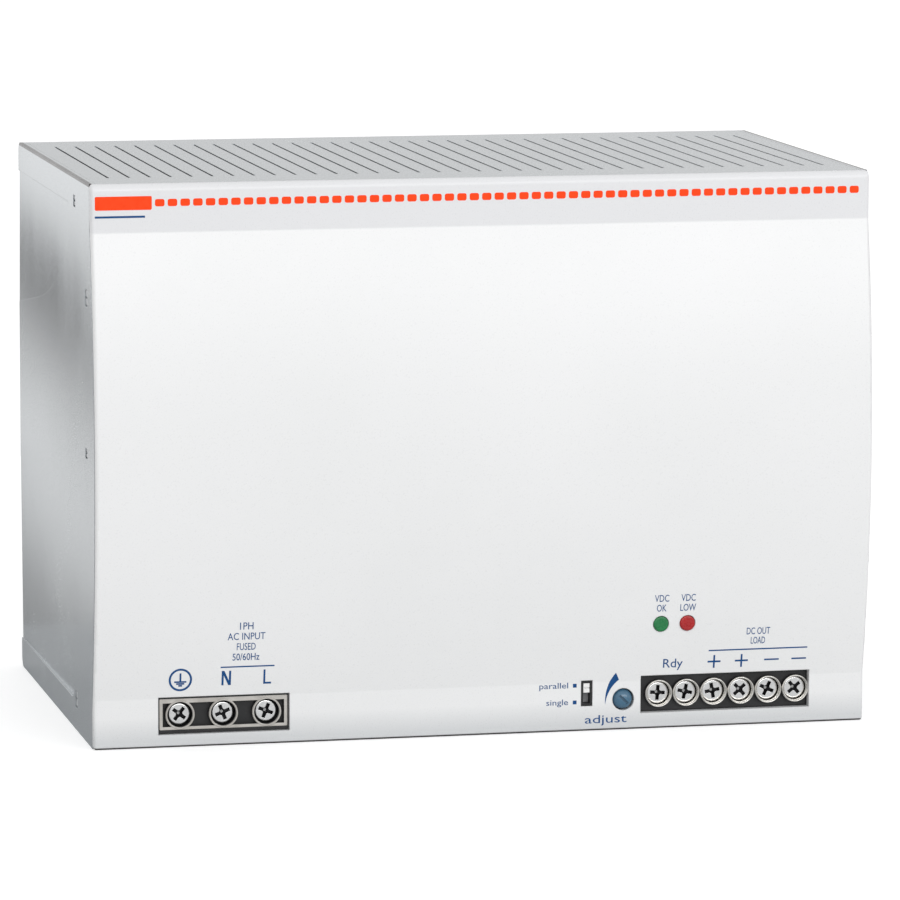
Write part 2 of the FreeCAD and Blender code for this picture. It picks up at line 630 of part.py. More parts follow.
def terminal_bars(names):
    """Fixed current bars, each with a solder tail that stands through the main board."""
    bars = []
    for name, u, h, cage, _ in pole_places():
        if name not in names:
            continue
        foot = h - CAGE_HEIGHT / 2 - CAGE_PLAY - SHELF + SCREW_PLAY
        plate = block(around(u, bar_half(cage)), (BAR_FRONT, BAR_REAR), (foot, BLOCK_HEAD))
        tail = block(around(u, TAIL / 2), (BAR_FRONT, BAR_REAR), (BLOCK_HEAD - 1, BOARD_TOP + TAIL_REACH))
        bars.append(plate.fuse(tail).removeSplitter())
    return Part.makeCompound(bars)


def terminal_screw(u, h, turn):
    """Captive clamping screw with a domed head and a cross recess."""
    head = rod(HEAD_RADIUS, u, (HEAD_FRONT, HEAD_SEAT), h)
    rim = [e for e in head.Edges if len(e.Vertexes) == 1 and e.CenterOfMass.y < FRONT + HEAD_FRONT + 1e-3]
    head = head.makeFillet(HEAD_EDGE, rim)
    depth = (HEAD_FRONT - 1, HEAD_FRONT + CROSS_DEPTH)
    arms = [block(around(u, CROSS_LENGTH / 2), depth, around(h, CROSS_WIDTH / 2)),
            block(around(u, CROSS_WIDTH / 2), depth, around(h, CROSS_LENGTH / 2))]
    pit = Part.makeCone(CROSS_WIDTH * 0.95, CROSS_WIDTH * 0.4, CROSS_DEPTH + 0.2,
                        point(u, HEAD_FRONT, h), Vector(0, 1, 0))
    shank = rod(SHANK_RADIUS, u, (HEAD_SEAT, BAR_FRONT - TIP_GAP), h)
    screw = head.cut(arms + [pit]).fuse(shank).removeSplitter()
    screw.rotate(point(u, 0, h), Vector(0, 1, 0), turn)
    return screw


def terminal_clamp(u, h, cage):
    """Rising cage, open: a ring round the bar and the wire, tapped for the screw."""
    tall = around(h, CAGE_HEIGHT / 2)
    ring = block(around(u, cage / 2), (CAGE_FRONT, CAGE_REAR), tall)
    inside = block(around(u, cage / 2 - CAGE_SIDE_WALL), (CAGE_FRONT + CAGE_FRONT_WALL, CAGE_INNER_REAR),
                   (tall[0] - 1, tall[1] + 1))
    thread = rod(SHANK_RADIUS + THREAD_CLEARANCE, u, (CAGE_FRONT - 1, CAGE_FRONT + CAGE_FRONT_WALL + 1), h)
    return ring.cut([inside, thread])


# --- controls -----------------------------------------------------------------------------------
def control_board():
    """Small upright board: one leg down to the trimmer and the switch, one arm behind the lights."""
    leg_left = SWITCH_U - SWITCH_SIZE[0] - 2
    leg_right = TRIMMER_U + TRIMMER_BODY / 2 + 0.1
    arm_right = OUTPUT_LEFT + LIGHT_OFFSETS[1] + 3 * LIGHT_RADIUS
    span = (CONTROL_FRONT, CONTROL_REAR)
    leg = block((leg_left, leg_right), span, (CONTROL_FOOT, CONTROL_HEAD))
    arm = block((leg_left, arm_right), span, (BOARD_TOP + 0.3, CONTROL_HEAD))
    return leg.fuse(arm).removeSplitter()


def board_notch():
    """Room in the main board's front edge for the control board's leg."""
    leg_left = SWITCH_U - SWITCH_SIZE[0] - 2
    leg_right = TRIMMER_U + TRIMMER_BODY / 2 + 0.1
    return block((leg_left - 0.5, leg_right + 0.2), (BOARD_FRONT - 1, CONTROL_REAR + 0.4), (BOARD_FOOT - 1, BOARD_TOP + 1))


def trimmer_body():
    body = block(around(TRIMMER_U, TRIMMER_BODY / 2), (COVER_WALL + 2.4, CONTROL_FRONT),
                 around(TRIMMER_HEIGHT, TRIMMER_BODY / 2))
    bore = rod(KNOB_RADIUS * 0.6 + SCREW_PLAY, TRIMMER_U, (0, CONTROL_FRONT - 1), TRIMMER_HEIGHT)
    return body.cut(bore)


def trimmer_knob():
    """Turning knob with a domed, slotted face."""
    neck = rod(KNOB_RADIUS * 0.6, TRIMMER_U, (COVER_WALL, CONTROL_FRONT - 1.2), TRIMMER_HEIGHT)
    face = rod(KNOB_RADIUS, TRIMMER_U, (KNOB_FRONT, COVER_WALL + KNOB_SKIRT), TRIMMER_HEIGHT)
    rim = [e for e in face.Edges if len(e.Vertexes) == 1 and e.CenterOfMass.y < FRONT + KNOB_FRONT + 1e-3]
    face = face.makeFillet(KNOB_DOME, rim)
    slot = block(around(TRIMMER_U, KNOB_SLOT_HALF), (KNOB_FRONT - 1, KNOB_FRONT + KNOB_SLOT),
                 around(TRIMMER_HEIGHT, KNOB_SLOT / 2))
    slot.rotate(point(TRIMMER_U, 0, TRIMMER_HEIGHT), Vector(0, 1, 0), 45)
    return face.cut(slot).fuse(neck).removeSplitter()


def slider_start():
    """Height of the slider's middle at rest, at the top of its slot."""
    return SWITCH_HEIGHT + SWITCH_SIZE[1] / 2 - SWITCH_WALL - SLIDER_PLAY - SLIDER_SIZE[1] / 2


def mode_switch_body():
    body = block(around(SWITCH_U, SWITCH_SIZE[0] / 2), (SWITCH_FRONT, CONTROL_FRONT),
                 around(SWITCH_HEIGHT, SWITCH_SIZE[1] / 2))
    slot = block(around(SWITCH_U, SLIDER_SIZE[0] / 2 + SLIDER_PLAY), (SWITCH_FRONT - 1, SWITCH_FRONT + SLIDER_DEPTH + 0.3),
                 around(SWITCH_HEIGHT, SWITCH_SIZE[1] / 2 - SWITCH_WALL))
    return body.cut(slot)


def mode_switch_slider():
    slider = block(around(SWITCH_U, SLIDER_SIZE[0] / 2), (SWITCH_FRONT + 0.1, SWITCH_FRONT + SLIDER_DEPTH),
                   around(slider_start(), SLIDER_SIZE[1] / 2))
    grip = block(around(SWITCH_U, SLIDER_SIZE[0]), (0, SWITCH_FRONT + 0.4), around(slider_start(), 0.15))
    return slider.cut(grip)


def light_pipe(offset):
    """Round light guide with a domed end at the cover and a collar near the board."""
    u = OUTPUT_LEFT + offset
    face = crown_depth(LIGHT_HEIGHT) - LIGHT_PROUD
    pipe = rod(LIGHT_RADIUS, u, (face, CONTROL_FRONT - CHIP[1] - 0.2), LIGHT_HEIGHT)
    rim = [e for e in pipe.Edges if len(e.Vertexes) == 1 and e.CenterOfMass.y < FRONT + face + 1e-3]
    pipe = pipe.makeFillet(LIGHT_ROUND, rim)
    inside = crown_depth(LIGHT_HEIGHT) + COVER_WALL + 0.9
    return pipe.fuse(rod(LIGHT_RADIUS + 0.6, u, (inside, inside + 0.8), LIGHT_HEIGHT)).removeSplitter()


def status_led_chips():
    chips = [block(around(OUTPUT_LEFT + d, CHIP[0] / 2), (CONTROL_FRONT - CHIP[1], CONTROL_FRONT),
                   around(LIGHT_HEIGHT, CHIP[2] / 2)) for d in LIGHT_OFFSETS]
    return Part.makeCompound(chips)


# --- rail bracket and latch ------------------------------------------------------------------------
def both_sides(x):
    return (x, (-x[1], -x[0]))


def din_bracket():
    """Pressed steel bracket: plate, raised rail seat, two upper hooks, latch guides and spring anvils."""
    half = BRACKET_WIDTH / 2
    foot = BOTTOM + BRACKET_FOOT
    plate = box_xyz((-half, half), (CASE_BACK_Y, PLATE_REAR_Y), (foot, BRACKET_HEAD))
    seat_edge = RAIL / 2
    seat = box_xyz((-half, half), (CASE_BACK_Y, 0), (-seat_edge, seat_edge))
    inner = half - BRACKET_SHEET
    dish = box_xyz((-inner, inner), (CASE_BACK_Y - 1, -BRACKET_SHEET), around(0, seat_edge - BRACKET_SHEET))
    shape = plate.fuse(seat).cut(dish)
    for z in ((SEAT_HALF, seat_edge + 1), (-seat_edge - 1, -SEAT_HALF)):
        shape = shape.cut(box_xyz((-half - 1, half + 1), (-SEAT_RELIEF, 1), z))
    wall_z = seat_edge + HOOK_PLAY
    lip_z = seat_edge - LIP
    lip_rear = RAIL_GRIP + HOOK_WALL
    added = []
    for x in both_sides(HOOK_SPAN):
        added.append(box_xyz(x, (CASE_BACK_Y, lip_rear), (wall_z, wall_z + HOOK_WALL)))
        added.append(box_xyz(x, (RAIL_GRIP, lip_rear), (lip_z, wall_z + HOOK_WALL)))
    guide_inner = LATCH_HALF + GUIDE_PLAY
    for x in both_sides((guide_inner, guide_inner + GUIDE_WALL)):
        added.append(box_xyz(x, (CASE_BACK_Y, GUIDE_PROUD), (foot, GUIDE_TOP_Z)))
    for x in both_sides((guide_inner - GUIDE_LIP, guide_inner + GUIDE_WALL)):
        added.append(box_xyz(x, (-LATCH_PLAY, GUIDE_PROUD), (foot, GUIDE_TOP_Z)))
    for x in (SPRING_X, -SPRING_X):
        added.append(box_xyz(around(x, ANVIL_HALF), (CASE_BACK_Y, ANVIL_PROUD), (ANVIL_FOOT_Z, ANVIL_FOOT_Z + ANVIL)))
    shape = shape.fuse(added)
    span = (CASE_BACK_Y - 1, PLATE_REAR_Y + 1)
    holes = [Part.makeCylinder(BRACKET_SCREW + SCREW_PLAY, span[1] - span[0], Vector(x, span[0], z), Vector(0, 1, 0))
             for x, z in BRACKET_SCREWS]
    return shape.cut(holes).removeSplitter()


def bracket_screws():
    seat = PLATE_REAR_Y - FRONT
    tip = CASE_DEPTH - SHEET - BRACKET_SCREW_REACH
    return [pan_screw_rear(x - LEFT, z - BOTTOM, seat, tip, BRACKET_SCREW, BRACKET_SCREW_HEAD, BRACKET_SCREW_THICK)
            for x, z in BRACKET_SCREWS]


def latch_section():
    """The latch's nose and lip in the Y-Z plane, with a ramp that lets it snap over the rail."""
    lip_top = -(RAIL / 2 - LIP)
    front = PLATE_REAR_Y + LATCH_PLAY
    corners = [(front, NOSE_FOOT_Z), (NOSE_REACH, NOSE_FOOT_Z), (NOSE_REACH, NOSE_TOP_Z - 0.6),
               (RAIL_GRIP + 0.8, lip_top), (RAIL_GRIP, lip_top), (RAIL_GRIP, NOSE_TOP_Z), (front, NOSE_TOP_Z)]
    points = [Vector(-LATCH_HALF, y, z) for y, z in corners + corners[:1]]
    return Part.Face(Part.makePolygon(points)).extrude(Vector(2 * LATCH_HALF, 0, 0))


def din_latch():
    """Sliding latch: plate with two spring windows, the nose that holds the rail and a pull tab."""
    y = (PLATE_REAR_Y + LATCH_PLAY, PLATE_REAR_Y + LATCH_PLAY + LATCH_THICK)
    tab_foot = BOTTOM + LATCH_GROUND
    tab_head = tab_foot + TAB_HEIGHT
    plate = box_xyz((-LATCH_HALF, LATCH_HALF), y, (tab_head, NOSE_TOP_Z))
    tab = box_xyz((-TAB_HALF, TAB_HALF), y, (tab_foot, tab_head + 1))
    bosses = [box_xyz(around(x, SPRING_HALF), (y[0], ANVIL_PROUD), (SPRING_TOP_Z, SPRING_TOP_Z + 1.2))
              for x in (SPRING_X, -SPRING_X)]
    windows = [box_xyz(around(x, SPRING_HALF), (y[0] - 1, y[1] + 1), (ANVIL_FOOT_Z - SCREW_PLAY, SPRING_TOP_Z))
               for x in (SPRING_X, -SPRING_X)]
    slot = box_xyz(around(0, TAB_SLOT[0] / 2), (y[0] - 1, y[1] + 1), around(tab_foot + TAB_HEIGHT / 2, TAB_SLOT[1] / 2))
    latch = plate.fuse([tab, latch_section()] + bosses).cut(windows + [slot]).removeSplitter()
    edges = [e for e in latch.Edges if abs(e.BoundBox.ZMin - tab_foot) < 1e-6 and e.BoundBox.YLength > 1]
    return latch.makeFillet(2.5, [e for e in edges if e.BoundBox.XLength < 1e-6 and e.BoundBox.ZLength < 1e-6])


def latch_springs():
    """Two compression springs between the bracket's anvils and the latch. The wire is eight-sided."""
    foot = ANVIL_FOOT_Z + ANVIL + SPRING_WIRE + 0.05
    length = SPRING_TOP_Z - foot - SPRING_WIRE - 0.05
    pitch = length / SPRING_TURNS
    start = Vector(SPRING_RADIUS, 0, 0)
    tangent = Vector(0, 2 * math.pi * SPRING_RADIUS, pitch).normalize()
    outward = Vector(1, 0, 0)
    across = tangent.cross(outward)
    corners = [start + outward * (SPRING_WIRE * math.cos(a)) + across * (SPRING_WIRE * math.sin(a))
               for a in (math.radians(45 * k + 22.5) for k in range(9))]
    section = Part.makePolygon(corners)
    coils = []
    for x in (SPRING_X, -SPRING_X):
        coil = Part.Wire(Part.makeHelix(pitch, length, SPRING_RADIUS)).makePipeShell([section], True, True)
        coil.translate(Vector(x, SPRING_AXIS_Y, foot))
        coils.append(coil)
    return Part.makeCompound(coils)


# --- main board and what stands on it --------------------------------------------------------------
def standoff_places():
    rear = CASE_DEPTH - STANDOFF_REAR - SHEET
    return [(STANDOFF_INSET, STANDOFF_FRONT), (WIDTH - STANDOFF_INSET, STANDOFF_FRONT),
            (STANDOFF_INSET, rear), (WIDTH - STANDOFF_INSET, rear), (WIDTH / 2 - 12, STANDOFF_FRONT)]


def on_board(u, s, height, lift=0.0):
    return block(u, s, (BOARD_TOP + lift, BOARD_TOP + lift + height))


def main_board():
    board = block((BOARD_SIDE, WIDTH - BOARD_SIDE), (BOARD_FRONT, CASE_DEPTH - SHEET - BOARD_REAR), (BOARD_FOOT, BOARD_TOP))
    through = (BOARD_FOOT - 1, BOARD_TOP + 1)
    holes = [post(BOARD_HOLE, u, s, through) for u, s in standoff_places()]
    holes += [post(TAIL_HOLE, u, (BAR_FRONT + BAR_REAR) / 2, through) for _, u, _, _, _ in pole_places()]
    return board.cut(holes + [board_notch()])


def board_standoffs():
    posts = []
    for u, s in standoff_places():
        bore = post(STANDOFF_BORE, u, s, (BOARD_FOOT - BOARD_SCREW_DEPTH - 1, BOARD_FOOT + 1))
        posts.append(hexagon_post(STANDOFF_FLATS, u, s, (SHEET, BOARD_FOOT)).cut(bore))
    return Part.makeCompound(posts)


def board_screws():
    screws = []
    for u, s in standoff_places():
        shank = post(BOARD_SCREW, u, s, (BOARD_TOP - BOARD_THICK - BOARD_SCREW_DEPTH, BOARD_TOP))
        head = post(BOARD_SCREW_HEAD, u, s, (BOARD_TOP, BOARD_TOP + 1.8))
        slot = block(around(u, BOARD_SCREW_HEAD * 0.6), around(s, 0.4), (BOARD_TOP + 1.0, BOARD_TOP + 3))
        cross = block(around(u, 0.4), around(s, BOARD_SCREW_HEAD * 0.6), (BOARD_TOP + 1.0, BOARD_TOP + 3))
        screws.append(shank.fuse(head.cut([slot, cross])))
    return Part.makeCompound(screws)


def insulating_sheet():
    """Film on the inside of the back sheet, clear of the bracket's screws."""
    rear = CASE_DEPTH - SHEET
    film = block((INSULATION_SIDE, WIDTH - INSULATION_SIDE), (rear - INSULATION, rear), (PAD_MARGIN, HEIGHT - PAD_MARGIN))
    holes = [rod(BRACKET_SCREW * 2, x - LEFT, (rear - 2, rear + 1), z - BOTTOM) for x, z in BRACKET_SCREWS]
    return film.cut(holes)


def film_capacitors():
    width, length, height = FILM_CAP
    cans = []
    for k in range(2):
        u = WALL_GAP + k * (width + COLUMN_GAP)
        can = on_board((u, u + width), (ROW_1, ROW_1 + length), height)
        cans.append(can.makeFillet(0.8, [e for e in can.Edges if e.CenterOfMass.z > BOTTOM + BOARD_TOP + 1]))
    return Part.makeCompound(cans)


def electrolytic(u, s, radius, height):
    """Can with a rolled groove near its foot and a rounded shoulder."""
    can = post(radius, u, s, (BOARD_TOP, BOARD_TOP + height))
    can = can.makeFillet(radius * 0.12, [e for e in can.Edges if len(e.Vertexes) == 1 and e.CenterOfMass.z > BOTTOM + BOARD_TOP + 1])
    groove = Part.makeTorus(radius + 0.3, 0.7, point(u, s, BOARD_TOP + height * 0.1))
    vent = [on_board(around(u, radius * 0.55), around(s, 0.25), 1, height - 0.3),
            on_board(around(u, 0.25), around(s, radius * 0.55), 1, height - 0.3)]
    return can.cut([groove] + vent)


def bulk_capacitors():
    u = WALL_GAP + COLUMN + COLUMN_GAP + BULK_CAP_RADIUS
    return Part.makeCompound([electrolytic(u, row + BULK_CAP_RADIUS, BULK_CAP_RADIUS, BULK_CAP_HEIGHT) for row in (ROW_1, ROW_2)])


def output_capacitors():
    step = COLUMN / 2
    cans = [electrolytic(WIDTH - WALL_GAP - step * (i + 0.5), ROW_1 + step * (j + 0.5), OUTPUT_CAP_RADIUS, OUTPUT_CAP_HEIGHT)
            for i in range(2) for j in range(2)]
    return Part.makeCompound(cans)


def sink_left():
    """Left edge of the primary heat sink's fins."""
    return WALL_GAP + COLUMN + 2 * BULK_CAP_RADIUS + 2 * COLUMN_GAP


def heat_sink(first):
    """Plate with upright fins to its left, starting at first from the left side."""
    end = CASE_DEPTH - SINK_REAR
    plate = on_board((first + SINK_FIN, first + SINK_FIN + SINK_BASE), (ROW_1, end), SINK_HEIGHT)
    step = (end - ROW_1 - SINK_FIN_THICK) / (SINK_FINS - 1)
    fins = [on_board((first, first + SINK_FIN + 0.5), (ROW_1 + k * step, ROW_1 + k * step + SINK_FIN_THICK), SINK_HEIGHT)
            for k in range(SINK_FINS)]
    return merged([plate] + fins)


def sink_packages(first, count):
    """Power packages on the sink's flat side, each with its mounting hole."""
    end = CASE_DEPTH - SINK_REAR
    step = (end - ROW_1) / count
    u = first + SINK_FIN + SINK_BASE
    shapes = []
    for k in range(count):
        middle = ROW_1 + (k + 0.5) * step
        body = on_board((u, u + PACKAGE[0]), around(middle, PACKAGE[1] / 2), PACKAGE[2], PACKAGE_LIFT)
        hole = Part.makeCylinder(1.8, PACKAGE[0] + 2, point(u - 1, middle, BOARD_TOP + PACKAGE_LIFT + PACKAGE[2] - 4.5), Vector(1, 0, 0))
        legs = [on_board((u + 1.8, u + 2.5), around(middle + d, 0.6), PACKAGE_LIFT + 0.5) for d in (-5.4, 0, 5.4)]
        shapes.append(body.cut(hole).fuse(legs).removeSplitter())
    return Part.makeCompound(shapes)


def middle_u():
    """Middle of the free space between the two rows of power packages."""
    used = SINK_FIN + SINK_BASE + PACKAGE[0]
    right = WIDTH - WALL_GAP - COLUMN - COLUMN_GAP - used
    return (sink_left() + used + right) / 2


def transformer_core():
    u, s = middle_u(), ROW_1 + COIL[1] / 2
    width, thick, tall = CORE
    window = (width - CORE_LEG) / 2 - CORE_YOKE
    outer = on_board(around(u, width / 2), around(s, thick / 2), tall, CORE_LIFT)
    holes = []
    for side in (-1, 1):
        middle = u + side * (CORE_LEG + window) / 2
        holes.append(on_board(around(middle, window / 2), around(s, thick), tall - 2 * CORE_YOKE, CORE_LIFT + CORE_YOKE))
    return outer.cut(holes)


def transformer_coil():
    """Bobbin with its windings: a rounded box less the core."""
    u, s = middle_u(), ROW_1 + COIL[1] / 2
    inner = (CORE[0] - 2 * CORE_YOKE) / 2 - COIL_PLAY
    coil = on_board(around(u, inner), around(s, COIL[1] / 2), COIL[2])
    coil = coil.makeFillet(2.5, [e for e in coil.Edges if e.BoundBox.ZLength > COIL[2] / 2])
    thick = CORE[1] / 2 + COIL_PLAY
    yokes = [on_board(around(u, CORE[0]), around(s, thick), CORE_YOKE + 2 * COIL_PLAY, z - COIL_PLAY)
             for z in (CORE_LIFT, CORE_LIFT + CORE[2] - CORE_YOKE)]
    leg = on_board(around(u, CORE_LEG / 2 + COIL_PLAY), around(s, thick), CORE[2], CORE_LIFT)
    waist = CORE[2] - 2 * CORE_YOKE - 4
    grooves = [on_board(around(u, inner + 1), edge, waist, CORE_LIFT + CORE_YOKE + 2)
               for edge in ((s - COIL[1] / 2 - 1, s - COIL[1] / 2 + 0.8), (s + COIL[1] / 2 - 0.8, s + COIL[1] / 2 + 1))]
    return coil.cut(yokes + [leg] + grooves)


def toroid(u, s, sizes, wire, gap_degrees):
    """(core, winding) of a choke lying flat: a plain ring, and a shell round most of it."""
    inner, outer, tall = sizes
    core = post(outer, u, s, (BOARD_TOP + wire, BOARD_TOP + wire + tall)).cut(post(inner, u, s, (0, HEIGHT)))
    shell = post(outer + wire, u, s, (BOARD_TOP, BOARD_TOP + tall + 2 * wire)).cut(post(inner - wire, u, s, (0, HEIGHT)))
    shell = shell.makeFillet(wire * 0.8, [e for e in shell.Edges if len(e.Vertexes) == 1 and e.BoundBox.ZLength < 1e-6])
    reach = outer + 2 * wire
    half = math.radians(gap_degrees / 2)
    wedge = Part.Face(Part.makePolygon([point(u, s, 0), point(u - reach * math.sin(half), s - reach * math.cos(half), 0),
                                        point(u + reach * math.sin(half), s - reach * math.cos(half), 0), point(u, s, 0)]))
    room = post(outer + COIL_PLAY, u, s, (BOARD_TOP + wire - COIL_PLAY, BOARD_TOP + wire + tall + COIL_PLAY))
    room = room.cut(post(inner - COIL_PLAY, u, s, (0, HEIGHT)))
    return core, shell.cut([room, wedge.extrude(Vector(0, 0, HEIGHT))])


def boost_choke():
    radius = CHOKE_CORE[1] + CHOKE_WIRE
    return toroid(middle_u(), ROW_1 + COIL[1] + 2 + radius, CHOKE_CORE, CHOKE_WIRE, 40)


def output_choke():
    u = WIDTH - WALL_GAP - COLUMN / 2
    core, winding = toroid(u, ROW_2 + COLUMN / 2 + 0.5, OUTPUT_CHOKE, 1.4, 50)
    return Part.makeCompound([core, winding])


def filter_core():
    width, depth, tall = FILTER_CORE
    u, s = WALL_GAP + COLUMN / 2, ROW_2 + FILTER_WIRE + depth / 2
    frame = on_board(around(u, width / 2), around(s, depth / 2), FILTER_YOKE, FILTER_WIRE + 4)
    hole = on_board(around(u, width / 2 - FILTER_YOKE), around(s, depth / 2 - FILTER_YOKE), tall)
    return frame.cut(hole)


def filter_windings():
    """Two windings, one on each long side of the filter choke's core."""
    width, depth, tall = FILTER_CORE
    u, s = WALL_GAP + COLUMN / 2, ROW_2 + FILTER_WIRE + depth / 2
    core = filter_core()
    coils = []
    for side in (-1, 1):
        middle = s + side * (depth / 2 - FILTER_YOKE / 2)
        half = FILTER_YOKE / 2 + FILTER_WIRE - 0.6
        span = around(middle + side * 0.5, half)
        coil = on_board(around(u, width / 2 - FILTER_YOKE - 0.5), span, FILTER_YOKE + 2 * FILTER_WIRE, 4)
        coils.append(coil.cut(core))
    return Part.makeCompound(coils)


def line_fuse():
    """Glass tube fuse with its two end caps, lying across."""
    u, h = WALL_GAP + 6.0, BOARD_TOP + FUSE_LIFT
    s = ROW_3 + FUSE_RADIUS
    tube = Part.makeCylinder(FUSE_RADIUS - 0.2, FUSE_LENGTH, point(u, s, h), Vector(1, 0, 0))
    caps = [Part.makeCylinder(FUSE_RADIUS, 5.0, point(x, s, h), Vector(1, 0, 0)) for x in (u, u + FUSE_LENGTH - 5.0)]
    return merged([tube] + caps)


def fuse_clips():
    u, h = WALL_GAP + 6.0, BOARD_TOP + FUSE_LIFT
    s = ROW_3 + FUSE_RADIUS
    clips = []
    for start in (u + 0.2, u + FUSE_LENGTH - CLIP_LENGTH - 0.2):
        outer = FUSE_RADIUS + CLIP_WALL
        cup = Part.makeCylinder(outer, CLIP_LENGTH, point(start, s, h), Vector(1, 0, 0))
        foot = on_board((start, start + CLIP_LENGTH), around(s, FUSE_RADIUS * 0.6), FUSE_LIFT - FUSE_RADIUS)
        hollow = Part.makeCylinder(FUSE_RADIUS + 0.02, CLIP_LENGTH + 2, point(start - 1, s, h), Vector(1, 0, 0))
        mouth = block((start - 1, start + CLIP_LENGTH + 1), around(s, FUSE_RADIUS * 0.8), (h, h + 2 * outer))
        clips.append(cup.fuse(foot).cut([hollow, mouth]).removeSplitter())
    return Part.makeCompound(clips)


def ready_relay():
    right = WIDTH - WALL_GAP - (COLUMN - RELAY[0]) / 2
    relay = on_board((right - RELAY[0], right), (ROW_3, ROW_3 + RELAY[1]), RELAY[2])
    return relay.makeFillet(0.7, [e for e in relay.Edges if e.BoundBox.ZLength > RELAY[2] / 2])


# --- the assembly -------------------------------------------------------------------------------
def build():
    """Every named piece."""
    choke_core, choke_winding = boost_choke()
    side = left_side_panel()
    pieces = {
        "chassis_shell": chassis_shell(),
        "left_side_panel": side,
        "right_side_panel": mirrored(side),
        "front_cover": front_cover(),
        "case_screws": Part.makeCompound(case_screws()),
        "din_bracket": din_bracket(),
        "din_latch": din_latch(),
        "latch_springs": latch_springs(),
        "bracket_screws": Part.makeCompound(bracket_screws()),
        "input_terminal_block": terminal_block(
            INPUT_POLES, INPUT_LEFT, INPUT_RIGHT, INPUT_WINDOW, INPUT_COLLAR, True),
        "output_terminal_block": terminal_block(
            OUTPUT_POLES, OUTPUT_LEFT, WIDTH - OUTPUT_RIGHT, OUTPUT_WINDOW, OUTPUT_COLLAR, False),
        "input_terminal_bars": terminal_bars(INPUT_POLES),
        "output_terminal_bars": terminal_bars(OUTPUT_POLES),
        "control_board": control_board(),
        "light_pipe_green": light_pipe(LIGHT_OFFSETS[0]),
        "light_pipe_red": light_pipe(LIGHT_OFFSETS[1]),
        "status_led_chips": status_led_chips(),
        "trimmer_body": trimmer_body(),
        "trimmer_knob": trimmer_knob(),
        "mode_switch_body": mode_switch_body(),
        "mode_switch_slider": mode_switch_slider(),
        "main_board": main_board(),
        "board_standoffs": board_standoffs(),
        "board_screws": board_screws(),
        "insulating_sheet": insulating_sheet(),
        "film_capacitors": film_capacitors(),
        "filter_choke_core": filter_core(),
        "filter_choke_windings": filter_windings(),
        "line_fuse": line_fuse(),
        "fuse_clips": fuse_clips(),
        "bulk_capacitors": bulk_capacitors(),
        "primary_heat_sink": heat_sink(sink_left()),
        "power_transistors": sink_packages(sink_left(), 4),
        "boost_choke_core": choke_core,
        "boost_choke_winding": choke_winding,
        "transformer_core": transformer_core(),
        "transformer_coil": transformer_coil(),
        "secondary_heat_sink": mirrored(heat_sink(WALL_GAP + COLUMN + COLUMN_GAP)),
        "output_rectifiers": mirrored(sink_packages(WALL_GAP + COLUMN + COLUMN_GAP, 3)),
        "output_choke": output_choke(),
        "output_capacitors": output_capacitors(),
        "ready_relay": ready_relay(),
    }
    for name, u, h, cage, turn in pole_places():
        pieces[name + "_screw"] = terminal_screw(u, h, turn)
        pieces[name + "_clamp"] = terminal_clamp(u, h, cage)
    return pieces


os.makedirs("parts", exist_ok=True)
for name, shape in build().items():
    shape.exportStep(os.path.join("parts", name + ".step"))
    state = "" if shape.isValid() else "  NOT VALID"
    print(f"{name}: {len(shape.Solids)} solid(s), {shape.Volume:.1f} mm3{state}")
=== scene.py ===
import json
import math

import bmesh
import bpy
from mathutils import Matrix, Vector
from mathutils.geometry import tessellate_polygon


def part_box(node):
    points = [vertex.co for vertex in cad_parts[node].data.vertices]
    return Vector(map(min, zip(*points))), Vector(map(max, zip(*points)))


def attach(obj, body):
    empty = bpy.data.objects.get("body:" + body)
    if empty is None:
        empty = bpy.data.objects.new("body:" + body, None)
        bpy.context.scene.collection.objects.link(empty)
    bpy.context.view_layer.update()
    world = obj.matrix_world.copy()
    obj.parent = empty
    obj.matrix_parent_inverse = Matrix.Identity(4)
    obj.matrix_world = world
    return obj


# A power supply for a top-hat rail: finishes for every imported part, the printed markings on the crowned
# cover, the trim round the terminals, and a plain studio. Lengths are in millimetres unless a name says
# otherwise; a place on the front is u from the left side and h above the bottom.

bl_info = {
    "name": "Top-hat rail power supply",
    "version": (1, 0, 0),
    "blender": (4, 5, 0),
    "location": "3D View > Sidebar > Power supply",
    "description": "Finishes, markings and stage for a power supply on a top-hat rail",
    "category": "Object",
}

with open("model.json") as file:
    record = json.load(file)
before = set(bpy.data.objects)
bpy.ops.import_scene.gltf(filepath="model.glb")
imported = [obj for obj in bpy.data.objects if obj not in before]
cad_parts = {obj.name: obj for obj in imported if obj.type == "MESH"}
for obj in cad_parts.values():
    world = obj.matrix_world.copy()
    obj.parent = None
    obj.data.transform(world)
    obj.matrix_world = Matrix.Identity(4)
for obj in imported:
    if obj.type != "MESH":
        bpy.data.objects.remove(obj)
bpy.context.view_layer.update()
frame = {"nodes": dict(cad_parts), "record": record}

MM = 0.001
COVER_LOW, COVER_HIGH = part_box("front_cover")
LEFT = COVER_LOW.x / MM
BOTTOM = COVER_LOW.z / MM
WIDTH = (COVER_HIGH.x - COVER_LOW.x) / MM
HEIGHT = (COVER_HIGH.z - COVER_LOW.z) / MM

# The cover's section: flat strips below and above, and one arc between them.
BULGE = 5.1
BULGE_FOOT = 11.0
BULGE_HEAD = HEIGHT - 10.6
BULGE_MID = (BULGE_FOOT + BULGE_HEAD) / 2
BULGE_HALF = (BULGE_HEAD - BULGE_FOOT) / 2
BULGE_RADIUS = (BULGE_HALF ** 2 + BULGE ** 2) / (2 * BULGE)
STRIP_PLANE = COVER_LOW.y / MM + BULGE

SUPPLY_POLES = ("earth", "neutral", "line")
OUTPUT_POLES = ("ready_1", "ready_2", "plus_1", "plus_2", "minus_1", "minus_2")


